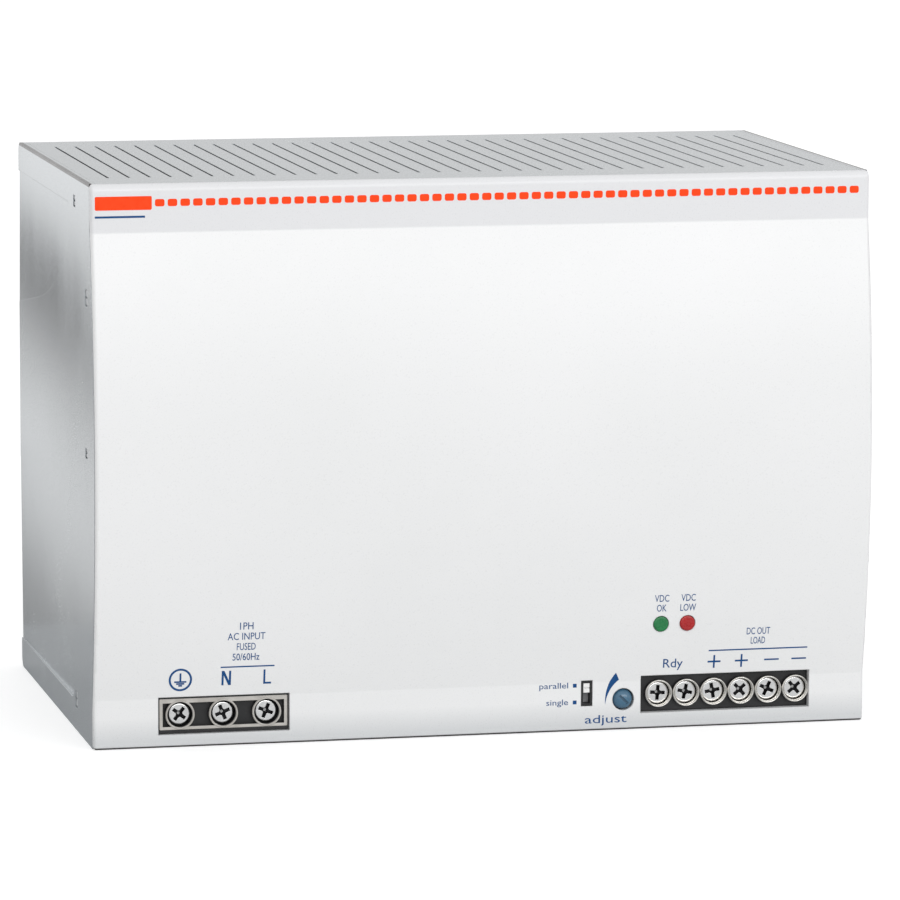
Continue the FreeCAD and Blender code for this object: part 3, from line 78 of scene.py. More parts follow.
# --- settings -----------------------------------------------------------------------------------
class StripeSettings(bpy.types.PropertyGroup):
    """The dashed stripe along the top of the cover."""

    ink: bpy.props.FloatVectorProperty(
        name="Ink", description="Colour of the stripe and its tab",
        subtype="COLOR", size=3, min=0, max=1, default=(0.92, 0.052, 0.0))
    pitch: bpy.props.FloatProperty(
        name="Pitch", description="Millimetres from one dash to the next", default=2.8, min=1)
    length: bpy.props.FloatProperty(
        name="Dash length", description="Length of a dash in millimetres", default=2.1, min=0.5)
    height: bpy.props.FloatProperty(
        name="Dash height", description="Height of a dash in millimetres", default=1.6, min=0.5)
    rise: bpy.props.FloatProperty(
        name="Rise", description="Millimetres from the bottom to the dashes' middle", default=120.4)
    start: bpy.props.FloatProperty(
        name="Start", description="Left end of the first dash in millimetres from the left side",
        default=14.1)
    margin: bpy.props.FloatProperty(
        name="Margin", description="Millimetres kept free at the right side", default=2.2, min=0)


class MarkingSettings(bpy.types.PropertyGroup):
    """Printed symbols and captions."""

    ink: bpy.props.FloatVectorProperty(
        name="Ink", description="Colour of the symbols and captions",
        subtype="COLOR", size=3, min=0, max=1, default=(0.006, 0.062, 0.20))
    film: bpy.props.FloatProperty(
        name="Film", description="Millimetres that the print stands proud of the cover",
        default=0.03, min=0.005)
    rule: bpy.props.FloatProperty(
        name="Rule", description="Width of the ruled lines in millimetres", default=0.3, min=0.05)
    small: bpy.props.FloatProperty(
        name="Small captions", description="Height of the small captions in millimetres",
        default=1.6, min=0.5)


class TerminalSettings(bpy.types.PropertyGroup):
    """Trim round the screw wells."""

    frame_rise: bpy.props.FloatProperty(
        name="Frame rise", description="Reach of the supply terminals' frame above the screws in millimetres",
        default=3.6, min=1)
    frame_drop: bpy.props.FloatProperty(
        name="Frame drop", description="Reach of that frame below the screws in millimetres",
        default=3.3, min=1)
    frame_inner: bpy.props.FloatProperty(
        name="Frame inner half height", description="Inner half height of that frame in millimetres",
        default=2.65, min=1)
    frame_side: bpy.props.FloatProperty(
        name="Frame side", description="Width of the frame's two ends in millimetres", default=0.7, min=0.1)
    supply_ring: bpy.props.FloatProperty(
        name="Supply ring", description="Outer radius of the rings round the supply screws in millimetres",
        default=3.28, min=1)
    output_ring: bpy.props.FloatProperty(
        name="Output ring", description="Outer radius of the rings round the output screws in millimetres",
        default=3.15, min=1)
    well: bpy.props.FloatProperty(
        name="Well", description="Radius of the screw wells in millimetres", default=2.8, min=1)


class StageSettings(bpy.types.PropertyGroup):
    """Camera, floor and light."""

    camera_place: bpy.props.FloatVectorProperty(
        name="Camera", description="Where the camera stands, in metres",
        subtype="TRANSLATION", size=3, default=(-0.28375, -1.341, 0.18375))
    azimuth: bpy.props.FloatProperty(
        name="Azimuth", description="How far the camera looks to the right of straight ahead",
        subtype="ANGLE", default=math.radians(12.64))
    tilt: bpy.props.FloatProperty(
        name="Tilt", description="How far the camera looks down",
        subtype="ANGLE", default=math.radians(8.2))
    roll: bpy.props.FloatProperty(
        name="Roll", description="Turn of the picture about the line of sight",
        subtype="ANGLE", default=math.radians(0.17))
    lens: bpy.props.FloatProperty(
        name="Focal length", description="Millimetres on a 36 mm sensor", default=230.8, min=20)
    sky: bpy.props.FloatProperty(
        name="Surround", description="Strength of the white surround", default=0.85, min=0)
    key: bpy.props.FloatProperty(
        name="Key light", description="Power of the large front light in watts",
        subtype="POWER", default=9.5, min=0)
    glow: bpy.props.FloatProperty(
        name="Floor glow", description="How much the floor glows for the camera, as a light table",
        default=0.45, min=0)


# --- shared making ------------------------------------------------------------------------------
def surface(h):
    """Y in millimetres of the cover's surface at a height."""
    if not BULGE_FOOT < h < BULGE_HEAD:
        return STRIP_PLANE
    return STRIP_PLANE - (math.sqrt(BULGE_RADIUS ** 2 - (h - BULGE_MID) ** 2) - BULGE_RADIUS + BULGE)


def on_cover(u, h, proud):
    """The point in metres at u and h, standing proud of the cover."""
    return Vector((LEFT + u, surface(h) - proud, BOTTOM + h)) * MM


def middle(node):
    """u, h and foremost depth behind the strip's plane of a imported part."""
    low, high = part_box(node)
    centre = (low + high) / 2 / MM
    return centre.x - LEFT, centre.z - BOTTOM, low.y / MM - STRIP_PLANE


def rounded(u, h, radius, steps=4):
    """Outline of a rectangle with rounded corners, u and h as (from, to)."""
    outline = []
    for cu, ch, start in ((u[1], h[1], 0), (u[0], h[1], 90), (u[0], h[0], 180), (u[1], h[0], 270)):
        centre_u = cu - radius if cu == u[1] else cu + radius
        centre_h = ch - radius if ch == h[1] else ch + radius
        for k in range(steps + 1):
            angle = math.radians(start + 90 * k / steps)
            outline.append((centre_u + radius * math.cos(angle), centre_h + radius * math.sin(angle)))
    return outline


def box_outline(u, h):
    return [(u[0], h[0]), (u[1], h[0]), (u[1], h[1]), (u[0], h[1])]


def circle(centre, radius, steps=40):
    angles = [math.tau * k / steps for k in range(steps)]
    return [(centre[0] + radius * math.cos(a), centre[1] + radius * math.sin(a)) for a in angles]


def add_prism(shape, loops, place, low, high):
    """Adds a closed flat solid to a bmesh. The first loop is the outside, the others are holes; place
    turns a loop's point and a depth into a corner."""
    flat = [point for loop in loops for point in loop]
    triangles = tessellate_polygon([[Vector((a, b, 0)) for a, b in loop] for loop in loops])
    layers = [[shape.verts.new(place(a, b, depth)) for a, b in flat] for depth in (low, high)]
    for layer in layers:
        for corners in triangles:
            shape.faces.new([layer[k] for k in corners])
    first = 0
    for loop in loops:
        for k in range(len(loop)):
            a, b = first + k, first + (k + 1) % len(loop)
            shape.faces.new((layers[0][a], layers[0][b], layers[1][b], layers[1][a]))
        first += len(loop)


def add_lathe(shape, centre, section, steps=48):
    """Adds a ring to a bmesh: a closed section of (radius, depth) turned about the depth through centre."""
    rings = []
    for k in range(steps):
        angle = math.tau * k / steps
        across, up = math.cos(angle), math.sin(angle)
        places = [(LEFT + centre[0] + r * across, STRIP_PLANE + s, BOTTOM + centre[1] + r * up) for r, s in section]
        rings.append([shape.verts.new(Vector(place) * MM) for place in places])
    for k, ring in enumerate(rings):
        after = rings[(k + 1) % steps]
        for j in range(len(section)):
            n = (j + 1) % len(section)
            shape.faces.new((ring[j], ring[n], after[n], after[j]))


def add_word(shape, text, centre, height, width=None):
    """Adds a word to a bmesh as thin solid letters on the cover, fitted to a height and a width."""
    curve = bpy.data.curves.new("word", "FONT")
    curve.body = text
    curve.extrude = 0.5
    curve.resolution_u = 3
    maker = bpy.data.objects.new("word", curve)
    letters = bpy.data.meshes.new_from_object(maker)
    across = [v.co.x for v in letters.vertices]
    up = [v.co.y for v in letters.vertices]
    scale_h = height / (max(up) - min(up))
    scale_u = width / (max(across) - min(across)) if width else scale_h
    middle_u = (max(across) + min(across)) / 2
    middle_h = (max(up) + min(up)) / 2
    film = settings("markings").film
    part = bmesh.new()
    part.from_mesh(letters)
    bmesh.ops.remove_doubles(part, verts=part.verts, dist=1e-5)
    for v in part.verts:
        u = centre[0] + (v.co.x - middle_u) * scale_u
        h = centre[1] + (v.co.y - middle_h) * scale_h
        v.co = on_cover(u, h, film if v.co.z > 0 else -film)
    part.to_mesh(letters)
    part.free()
    shape.from_mesh(letters)
    bpy.data.objects.remove(maker)
    bpy.data.curves.remove(curve)
    bpy.data.meshes.remove(letters)


def add_print(shape, *loops):
    """Adds a thin printed area to a bmesh, its first loop the outside and the others holes."""
    film = settings("markings").film
    add_prism(shape, loops, on_cover, -film, film)


def settings(group):
    return getattr(bpy.context.scene, "supply_" + group)


def new_piece(name, shape, finish, body="casing", sharp=35):
    """Turns a bmesh into a piece that rides on a body."""
    bmesh.ops.recalc_face_normals(shape, faces=shape.faces)
    mesh = bpy.data.meshes.new(name)
    shape.to_mesh(mesh)
    shape.free()
    mesh.shade_smooth()
    mesh.set_sharp_from_angle(angle=math.radians(sharp))
    mesh.materials.append(finish)
    piece = bpy.data.objects.new(name, mesh)
    bpy.context.scene.collection.objects.link(piece)
    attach(piece, body)
    return piece


# --- finishes -----------------------------------------------------------------------------------
class Finish:
    """A material's nodes, added and joined with short calls. Sizes of patterns are in millimetres."""

    def __init__(self, name, **sockets):
        self.material = bpy.data.materials.new(name)
        self.material.use_nodes = True
        self.nodes = self.material.node_tree.nodes
        self.links = self.material.node_tree.links
        self.nodes.clear()
        self.shader = self.node("BsdfPrincipled", **sockets)
        output = self.node("OutputMaterial")
        self.links.new(self.shader.outputs["BSDF"], output.inputs["Surface"])
        self.place = self.node("TexCoord").outputs["Object"]

    def node(self, kind, **values):
        """A new node; a value goes to the input of that name, or else to the setting."""
        made = self.nodes.new("ShaderNode" + kind)
        for key, value in values.items():
            socket = made.inputs.get(key.replace("_", " "))
            if socket is None:
                setattr(made, key, value)
            elif isinstance(value, bpy.types.NodeSocket):
                self.links.new(value, socket)
            else:
                socket.default_value = value
        return made

    def set(self, socket, value):
        self.links.new(value, self.shader.inputs[socket])

    def scaled_place(self, size, stretch):
        scale = tuple(1 / (size * MM * s) for s in stretch)
        return self.node("Mapping", Vector=self.place, Scale=scale).outputs[0]

    def noise(self, size, stretch=(1, 1, 1), detail=3.0):
        """Cloudy noise, its patches about one size wide and stretched along the axes."""
        place = self.scaled_place(size, stretch)
        return self.node("TexNoise", Vector=place, Scale=1.0, Detail=detail).outputs[0]

    def waves(self, size, axis, bend=0.0):
        """Even ridges across an axis, for windings and threads."""
        wave = self.node("TexWave", Vector=self.scaled_place(size, (1, 1, 1)), Scale=0.3183, Distortion=bend)
        wave.bands_direction = axis
        return wave.outputs["Fac"]

    def drift(self, factor, dark, light):
        """A colour between two, by a factor."""
        mixer = self.node("Mix", data_type="RGBA")
        self.links.new(factor, mixer.inputs[0])
        for socket, colour in ((mixer.inputs[6], dark), (mixer.inputs[7], light)):
            if isinstance(colour, bpy.types.NodeSocket):
                self.links.new(colour, socket)
            else:
                socket.default_value = (*colour, 1.0)
        return mixer.outputs[2]

    def ranged(self, factor, low, high, start=0.3, end=0.7):
        """A factor's stretch from start to end, laid over low to high."""
        ranger = self.node("MapRange", Value=factor, From_Min=start, From_Max=end, To_Min=low, To_Max=high)
        return ranger.outputs["Result"]

    def beyond(self, axis, level, soft=0.1):
        """0 before a level on an axis of the frame, in millimetres, and 1 beyond it."""
        parts = self.node("SeparateXYZ", Vector=self.place)
        return self.ranged(parts.outputs[axis], 0.0, 1.0, (level - soft) * MM, (level + soft) * MM)

    def above(self, height, soft=0.3):
        """0 below a height over the casing's bottom and 1 above it."""
        return self.beyond("Z", BOTTOM + height, soft)

    def wide(self, level, soft=0.1):
        """1 where the frame's X is further than a level from the middle, on either side."""
        parts = self.node("SeparateXYZ", Vector=self.place)
        size = self.node("Math", Value=parts.outputs["X"], operation="ABSOLUTE").outputs[0]
        return self.ranged(size, 0.0, 1.0, (level - soft) * MM, (level + soft) * MM)

    def both(self, first, second):
        """Where two masks meet."""
        product = self.node("Math", operation="MULTIPLY")
        self.links.new(first, product.inputs[0])
        self.links.new(second, product.inputs[1])
        return product.outputs[0]

    def rounded_edges(self, radius):
        return self.node("Bevel", Radius=radius * MM, samples=4).outputs[0]

    def bump(self, height, strength, depth, under=None):
        values = {"Height": height, "Strength": strength, "Distance": depth * MM}
        if under is not None:
            values["Normal"] = under
        return self.node("Bump", **values).outputs[0]


def plain_finish(name, dark, light, rough, patch=20.0, grain=0.4, stretch=(1, 1, 1), relief=0.25, depth=0.02,
                 edge=0.0, **sockets):
    """A finish whose colour and gloss drift in patches, over a fine grain, with softened edges."""
    made = Finish(name, **sockets)
    cloud = made.noise(patch)
    fine = made.noise(grain, stretch)
    made.set("Base Color", made.drift(made.ranged(cloud, 0.0, 1.0), dark, light))
    made.set("Roughness", made.ranged(fine, *rough))
    under = made.rounded_edges(edge) if edge else None
    made.set("Normal", made.bump(fine, relief, depth, under))
    return made


# The narrow shut lines, painted dark as shade: along the casing's two upper side edges, and under the cover.
SEAM_SHADE = (0.03, 0.026, 0.027)
EDGE_SEAM = 0.7
FOOT_SEAM = 0.42


def sheet_finish(name, dark, light, rough, stretch):
    """Rolled and zinc-plated sheet: drawn grain along one axis, faint clouds and a crystal bloom; a painted shade
    darkens the two upper side edges.
    """
    made = Finish(name, Metallic=1.0)
    cloud = made.noise(34.0)
    grain = made.noise(0.22, stretch, 2.0)
    bloom = made.node("TexVoronoi", Vector=made.scaled_place(3.2, (1, 1, 1)), Scale=1.0).outputs["Color"]
    bloom = made.node("SeparateColor", Color=bloom).outputs[0]
    tone = made.drift(made.ranged(cloud, 0.0, 1.0), dark, light)
    spark = made.drift(made.ranged(bloom, 0.0, 0.10, 0.0, 1.0), tone, light)
    # Painted shade: the two upper side edges are coloured dark, the shade of the shut lines there.
    edge = made.both(made.above(HEIGHT - EDGE_SEAM, 0.12), made.wide(WIDTH / 2 - EDGE_SEAM))
    made.set("Base Color", made.drift(edge, spark, SEAM_SHADE))
    blur = made.node("Math", operation="ADD")
    made.links.new(made.ranged(grain, *rough), blur.inputs[0])
    made.links.new(made.ranged(cloud, -0.03, 0.03), blur.inputs[1])
    made.set("Roughness", blur.outputs[0])
    made.set("Normal", made.bump(grain, 0.12, 0.012, made.rounded_edges(0.25)))
    return made


def cover_finish():
    """White moulding with a fine spark-eroded texture; painted shade makes the top strip a little darker, darkens
    the foot towards the bottom and draws a dark line along the bottom edge.
    """
    made = Finish("cover_plastic", Coat_Weight=0.0, IOR=1.49)
    texture = made.noise(0.35, detail=2.0)
    cloud = made.noise(60.0)
    body = made.drift(made.ranged(cloud, 0.0, 1.0), (0.775, 0.782, 0.785), (0.80, 0.805, 0.81))
    # Painted shade: the flat strip above the crown is coloured darker than the crown.
    strip = made.drift(made.above(BULGE_HEAD), body, (0.73, 0.735, 0.75))
    # Painted shade: the colour darkens towards the bottom over the lowest few millimetres.
    foot = made.drift(made.above(4.2, 2.6), (0.62, 0.635, 0.645), strip)
    # Painted shade: a dark line along the bottom edge, the shut line's shade under the cover.
    made.set("Base Color", made.drift(made.above(FOOT_SEAM, 0.1), SEAM_SHADE, foot))
    made.set("Roughness", made.ranged(texture, 0.26, 0.34))
    made.set("Normal", made.bump(texture, 0.10, 0.012, made.rounded_edges(0.35)))
    return made


def screw_finish():
    """Nickel-plated screws; the driver's recess is painted near black, a painted shade."""
    made = Finish("screw_metal", Metallic=1.0)
    cloud = made.noise(0.9)
    face = made.drift(made.ranged(cloud, 0.0, 1.0), (0.90, 0.895, 0.885), (0.98, 0.975, 0.97))
    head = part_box("earth_screw")[0].y / MM
    # Painted shade: everything between 0.25 and 1.3 mm behind the head's front, the driver's recess, is coloured
    # near black.
    recess = made.both(made.beyond("Y", head + 0.25, 0.08), made.beyond("Y", head + 1.3, -0.08))
    made.set("Base Color", made.drift(recess, face, (0.02, 0.02, 0.022)))
    made.set("Roughness", made.ranged(made.noise(0.12, (1, 1, 3)), 0.16, 0.26))
    made.set("Normal", made.bump(cloud, 0.08, 0.02, made.rounded_edges(0.1)))
    return made


def board_finish():
    """Green solder mask: tracks show as lighter lanes, pads as small bright dots."""
    made = Finish("circuit_board", Coat_Weight=0.35, Coat_Roughness=0.15)
    tracks = made.node("TexBrick", Vector=made.scaled_place(2.4, (1, 1, 1)), Scale=1.0, Mortar_Size=0.16,
                       Brick_Width=3.1, Row_Height=0.8)
    lanes = tracks.outputs["Fac"]
    mask = made.drift(lanes, (0.018, 0.105, 0.045), (0.035, 0.175, 0.07))
    pads = made.node("TexVoronoi", Vector=made.scaled_place(3.4, (1, 1, 1)), Scale=1.0).outputs["Distance"]
    dots = made.ranged(pads, 1.0, 0.0, 0.14, 0.17)
    made.set("Base Color", made.drift(dots, mask, (0.62, 0.60, 0.52)))
    made.set("Roughness", made.ranged(lanes, 0.30, 0.42, 0.0, 1.0))
    made.set("Normal", made.bump(lanes, 0.4, 0.03))
    return made


def winding_finish(name, dark, light, turn, axis, rough, **sockets):
    """Wire laid turn by turn; the grooves between turns are painted darker, a painted shade."""
    made = Finish(name, **sockets)
    turns = made.waves(turn, axis, 0.4)
    cloud = made.noise(6.0)
    # Painted shade: the colour goes dark in the low part of each wave, the grooves that the bump sinks between
    # turns.
    colour = made.drift(made.ranged(turns, 0.0, 1.0, 0.0, 0.8), dark, light)
    made.set("Base Color", colour)
    made.set("Roughness", made.ranged(cloud, *rough))
    made.set("Normal", made.bump(turns, 0.9, 0.35))
    return made


def lens_finish(name, dark, light):
    """Tinted light guide: deep colour, polished, a shade paler in its clouds."""
    made = Finish(name, Coat_Weight=0.4, Coat_Roughness=0.08, IOR=1.49)
    cloud = made.noise(1.6)
    made.set("Base Color", made.drift(made.ranged(cloud, 0.0, 1.0), dark, light))
    made.set("Roughness", made.ranged(made.noise(0.5), 0.22, 0.34))
    made.set("Normal", made.bump(made.noise(0.3), 0.08, 0.01, made.rounded_edges(0.15)))
    return made


def make_finishes():
    """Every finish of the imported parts, by the name of its slot."""
    metal = {"Metallic": 1.0}
    made = {
        "sheet_metal": sheet_finish("sheet_metal", (0.52, 0.55, 0.575), (0.60, 0.63, 0.65), (0.18, 0.26),
                                    (1, 9, 1)),
        "cover_plastic": cover_finish(),
        "plated_steel": plain_finish("plated_steel", (0.58, 0.59, 0.58), (0.70, 0.70, 0.66), (0.22, 0.36),
                                     3.0, 0.15, edge=0.12, **metal),
        "bracket_steel": sheet_finish("bracket_steel", (0.46, 0.48, 0.50), (0.60, 0.61, 0.60), (0.30, 0.44),
                                      (9, 1, 1)),
        "spring_steel": plain_finish("spring_steel", (0.36, 0.36, 0.37), (0.52, 0.52, 0.52), (0.18, 0.30),
                                     2.0, 0.12, (1, 1, 4), **metal),
        "terminal_plastic": plain_finish("terminal_plastic", (0.008, 0.008, 0.009), (0.017, 0.017, 0.018),
                                         (0.38, 0.52), 12.0, 0.25, relief=0.2, depth=0.012, edge=0.12),
        "contact_metal": plain_finish("contact_metal", (0.62, 0.57, 0.44), (0.76, 0.71, 0.58), (0.24, 0.40),
                                      4.0, 0.2, (1, 1, 5), edge=0.1, **metal),
        "circuit_board": board_finish(),
        "green_lens": lens_finish("green_lens", (0.0, 0.145, 0.035), (0.004, 0.19, 0.05)),
        "red_lens": lens_finish("red_lens", (0.33, 0.001, 0.002), (0.42, 0.004, 0.005)),
        "component_white": plain_finish("component_white", (0.80, 0.80, 0.79), (0.90, 0.90, 0.90),
                                        (0.3, 0.45), 2.0, 0.2, edge=0.08),
        "trimmer_blue": plain_finish("trimmer_blue", (0.035, 0.10, 0.20), (0.05, 0.13, 0.25), (0.35, 0.5),
                                     3.0),
        "trimmer_knob": plain_finish("trimmer_knob", (0.045, 0.125, 0.205), (0.062, 0.155, 0.245),
                                     (0.16, 0.24), 1.5, 0.25, relief=0.06, edge=0.1, Coat_Weight=0.5,
                                     Coat_Roughness=0.06),
        "insulating_film": plain_finish("insulating_film", (0.70, 0.71, 0.66), (0.80, 0.80, 0.74),
                                        (0.15, 0.3), 25.0, 2.0, Transmission_Weight=0.25),
        "film_capacitor_yellow": plain_finish("film_capacitor_yellow", (0.60, 0.42, 0.04), (0.74, 0.55, 0.07),
                                              (0.35, 0.5), 6.0, 0.3, edge=0.3),
        "ferrite": plain_finish("ferrite", (0.035, 0.035, 0.038), (0.075, 0.075, 0.08), (0.5, 0.7), 1.2,
                                0.12, relief=0.5, edge=0.2),
        "copper_wire": winding_finish("copper_wire", (0.24, 0.07, 0.02), (0.72, 0.27, 0.10), 1.0, "Z",
                                      (0.2, 0.32), Metallic=1.0, Coat_Weight=0.5, Coat_Roughness=0.15),
        "fuse_ceramic": plain_finish("fuse_ceramic", (0.76, 0.74, 0.68), (0.86, 0.84, 0.79), (0.25, 0.4),
                                     2.0, 0.3),
        "capacitor_sleeve": plain_finish("capacitor_sleeve", (0.020, 0.024, 0.040), (0.034, 0.040, 0.062),
                                         (0.22, 0.34), 9.0, 1.2, relief=0.2, edge=0.5, Coat_Weight=0.3),
        "heat_sink_aluminium": plain_finish("heat_sink_aluminium", (0.55, 0.56, 0.57), (0.70, 0.71, 0.72),
                                            (0.26, 0.42), 8.0, 0.25, (1, 1, 12), edge=0.15, **metal),
        "semiconductor_epoxy": plain_finish("semiconductor_epoxy", (0.014, 0.014, 0.015),
                                            (0.030, 0.030, 0.032), (0.5, 0.65), 3.0, 0.15, relief=0.4,
                                            edge=0.15),
        "winding_tape": winding_finish("winding_tape", (0.50, 0.34, 0.03), (0.72, 0.53, 0.08), 6.0, "Z",
                                       (0.2, 0.35), Coat_Weight=0.4),
        "relay_blue": plain_finish("relay_blue", (0.03, 0.10, 0.28), (0.05, 0.15, 0.38), (0.28, 0.4), 5.0,
                                   0.3, edge=0.3),
        "screw_metal": screw_finish(),
    }
    return {slot: finish.material for slot, finish in made.items()}


def ink_finish(name, colour):
    """Screen-printed ink: even, slightly thin in places."""
    thin = tuple(min(1.0, c * 1.12 + 0.004) for c in colour)
    made = plain_finish(name, tuple(colour), thin, (0.32, 0.45), 1.5, 0.3, relief=0.08, Specular_IOR_Level=0.2)
    return made.material


def finish_parts(*nodes):
    """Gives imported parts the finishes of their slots."""
    slots = {part["node"]: part["material_slot"] for part in frame["record"]["subparts"]}
    for name in nodes:
        mesh = frame["nodes"][name].data
        mesh.materials.clear()
        mesh.materials.append(finishes[slots[name]])


finishes = {}


# --- pieces -------------------------------------------------------------------------------------
def make_stripe():
    """Row of rounded dashes, and the plain tab at its left end."""
    s = settings("stripe")
    row = bmesh.new()
    count = int((WIDTH - s.margin - s.start - s.length) / s.pitch) + 1
    for k in range(count):
        u = s.start + k * s.pitch
        add_print(row, rounded((u, u + s.length), (s.rise - s.height / 2, s.rise + s.height / 2), 0.45))
    ink = ink_finish("stripe_ink", s.ink)
    new_piece("stripe_dashes", row, ink)
    tab = bmesh.new()
    end = s.start - (s.pitch - s.length)
    add_print(tab, rounded((0.9, end), (s.rise - 1.5, s.rise + 1.5), 0.3))
    new_piece("stripe_tab", tab, ink)
    rule = bmesh.new()
    add_print(rule, box_outline((0.9, end - 1.5), (s.rise - 3.2, s.rise - 2.75)))
    new_piece("stripe_underline", rule, blue_ink())


def blue_ink():
    return bpy.data.materials.get("marking_ink") or ink_finish("marking_ink", settings("markings").ink)


def add_letter_n(shape, u, h, line):
    """A capital N between (from, to) in u and h."""
    slant = line * 1.25
    notch = 2.2 * line
    add_print(shape, [
        (u[0], h[0]), (u[0] + line, h[0]), (u[0] + line, h[1] - notch), (u[1] - slant, h[0]), (u[1], h[0]),
        (u[1], h[1]), (u[1] - line, h[1]), (u[1] - line, h[0] + notch), (u[0] + slant, h[1]), (u[0], h[1])])


def add_letter_l(shape, u, h, line):
    add_print(shape, [(u[0], h[0]), (u[1], h[0]), (u[1], h[0] + line), (u[0] + line, h[0] + line),
                      (u[0] + line, h[1]), (u[0], h[1])])


def add_plus(shape, centre, half, line):
    t = line / 2
    arm = [(-t, -half), (t, -half), (t, -t)]
    outline = []
    for _ in range(4):
        outline += arm
        arm = [(-b, a) for a, b in arm]
    add_print(shape, [(centre[0] + a, centre[1] + b) for a, b in outline])


def add_earth(shape, centre, radius, line):
    """The earth sign in its ring: a stem on three bars that get shorter downwards."""
    u, h = centre
    add_print(shape, circle(centre, radius), circle(centre, radius - line))
    add_print(shape, box_outline((u - 0.2, u + 0.2), (h - 0.3, h + 1.5)))
    for k, half in enumerate((1.35, 0.9, 0.42)):
        top = h - 0.3 - k * 0.44
        add_print(shape, box_outline((u - half, u + half), (top - 0.36, top)))


def make_supply_markings():
    """Earth sign, N, L, the rule over them and four small lines of text."""
    s = settings("markings")
    shape = bmesh.new()
    neutral, line = middle("neutral_screw")[0], middle("line_screw")[0]
    add_earth(shape, (middle("earth_screw")[0] - 0.2, 15.2), 2.6, 0.46)
    add_letter_n(shape, (neutral - 0.7, neutral + 1.4), (13.6, 16.9), 0.46)
    add_letter_l(shape, (line - 1.05, line + 0.7), (13.6, 16.9), 0.42)
    add_print(shape, box_outline((neutral - 1.0, line + 1.35), (17.6, 17.6 + s.rule)))
    for k, (text, width) in enumerate((("50/60Hz", 6.0), ("FUSED", 4.2), ("AC INPUT", 8.4), ("1PH", 3.0))):
        add_word(shape, text, (neutral + 4.6, 20.0 + 2.35 * k), s.small, width)
    new_piece("supply_markings", shape, blue_ink(), sharp=20)


def make_output_markings():
    """Caption of the ready contact, two pluses, two minuses, the rule and two small lines of text."""
    s = settings("markings")
    shape = bmesh.new()
    places = [middle(pole + "_screw")[0] for pole in OUTPUT_POLES]
    add_word(shape, "Rdy", ((places[0] + places[1]) / 2 - 0.4, 14.5), 2.7, 4.5)
    for pole in (2, 3):
        add_plus(shape, (places[pole] - 0.4, 14.85), 1.5, 0.4)
    for pole in (4, 5):
        u = places[pole] + 0.25
        add_print(shape, box_outline((u - 1.7, u + 1.7), (14.7, 15.05)))
    add_print(shape, box_outline((places[2] - 1.8, places[5] + 2.1), (17.3, 17.3 + s.rule)))
    centre = (places[2] + places[5]) / 2
    add_word(shape, "LOAD", (centre, 19.5), s.small, 3.3)
    add_word(shape, "DC OUT", (centre, 21.7), s.small, 5.4)
    new_piece("output_markings", shape, blue_ink(), sharp=20)


def make_control_markings():
    """Captions of the lights, the switch and the trimmer, and the tapered arc beside the trimmer."""
    s = settings("markings")
    shape = bmesh.new()
    for node, text, width in (("light_pipe_green", "OK", 2.2), ("light_pipe_red", "LOW", 3.6)):
        u, h, _ = middle(node)
        add_word(shape, text, (u, h + 3.65), s.small, width)
        add_word(shape, "VDC", (u, h + 5.9), s.small, 3.3)
    u, h, _ = middle("mode_switch_body")
    for text, rise, width in (("parallel", 1.85, 6.6), ("single", -1.95, 5.0)):
        add_print(shape, box_outline((u - 3.2, u - 2.34), (h + rise - 0.43, h + rise + 0.43)))
        add_word(shape, text, (u - 4.3 - width / 2, h + rise - 0.1), s.small + 0.1, width)
    u, h, _ = middle("trimmer_knob")
    add_word(shape, "adjust", (u - 4.0, h - 4.6), 2.4, 9.6)
    add_print(shape, wedge_outline((u, h)))
    new_piece("control_markings", shape, blue_ink(), sharp=20)


def arc_through(start, via, end, steps=10):
    """Points of the arc from start through via to end."""
    (ax, ay), (bx, by), (cx, cy) = start, via, end
    d = 2 * (ax * (by - cy) + bx * (cy - ay) + cx * (ay - by))
    a, b, c = ax ** 2 + ay ** 2, bx ** 2 + by ** 2, cx ** 2 + cy ** 2
    ox = (a * (by - cy) + b * (cy - ay) + c * (ay - by)) / d
    oy = (a * (cx - bx) + b * (ax - cx) + c * (bx - ax)) / d
    radius = math.hypot(ax - ox, ay - oy)
    first, last = math.atan2(ay - oy, ax - ox), math.atan2(cy - oy, cx - ox)
    turn = (last - first + math.pi) % math.tau - math.pi
    angles = [first + turn * k / steps for k in range(steps + 1)]
    return [(ox + radius * math.cos(angle), oy + radius * math.sin(angle)) for angle in angles]


def wedge_outline(centre):
    """Tapered arc, thick end up, round the trimmer's upper left."""
    outer = arc_through((-1.80, 6.16), (-3.84, 2.3), (-4.16, -1.18))
    inner = arc_through((-4.16, -1.18), (-3.12, 2.16), (-1.02, 4.5))
    return [(centre[0] + a, centre[1] + b) for a, b in outer + inner[1:]]


def half_round(inner, outer, front, back, steps=6):
    """Section of a ring: half round in front, flat behind."""
    mid, half = (inner + outer) / 2, (outer - inner) / 2
    angles = [math.pi * k / steps for k in range(steps + 1)]
    return [(mid - half * math.cos(a), back - (back - front) * math.sin(a)) for a in angles]


def bay_outline(u, half, radius, poles, h):
    """A slot outline that widens to an arc round each pole, going round once."""
    turn = math.asin(half / radius)
    upper = [(u[0], h + half)]
    for p in poles:
        upper += [(p + radius * math.cos(a), h + radius * math.sin(a))
                  for a in (math.pi - turn - (math.pi - 2 * turn) * k / 8 for k in range(9))]
    upper.append((u[1], h + half))
    return upper + [(a, 2 * h - b) for a, b in reversed(upper)]


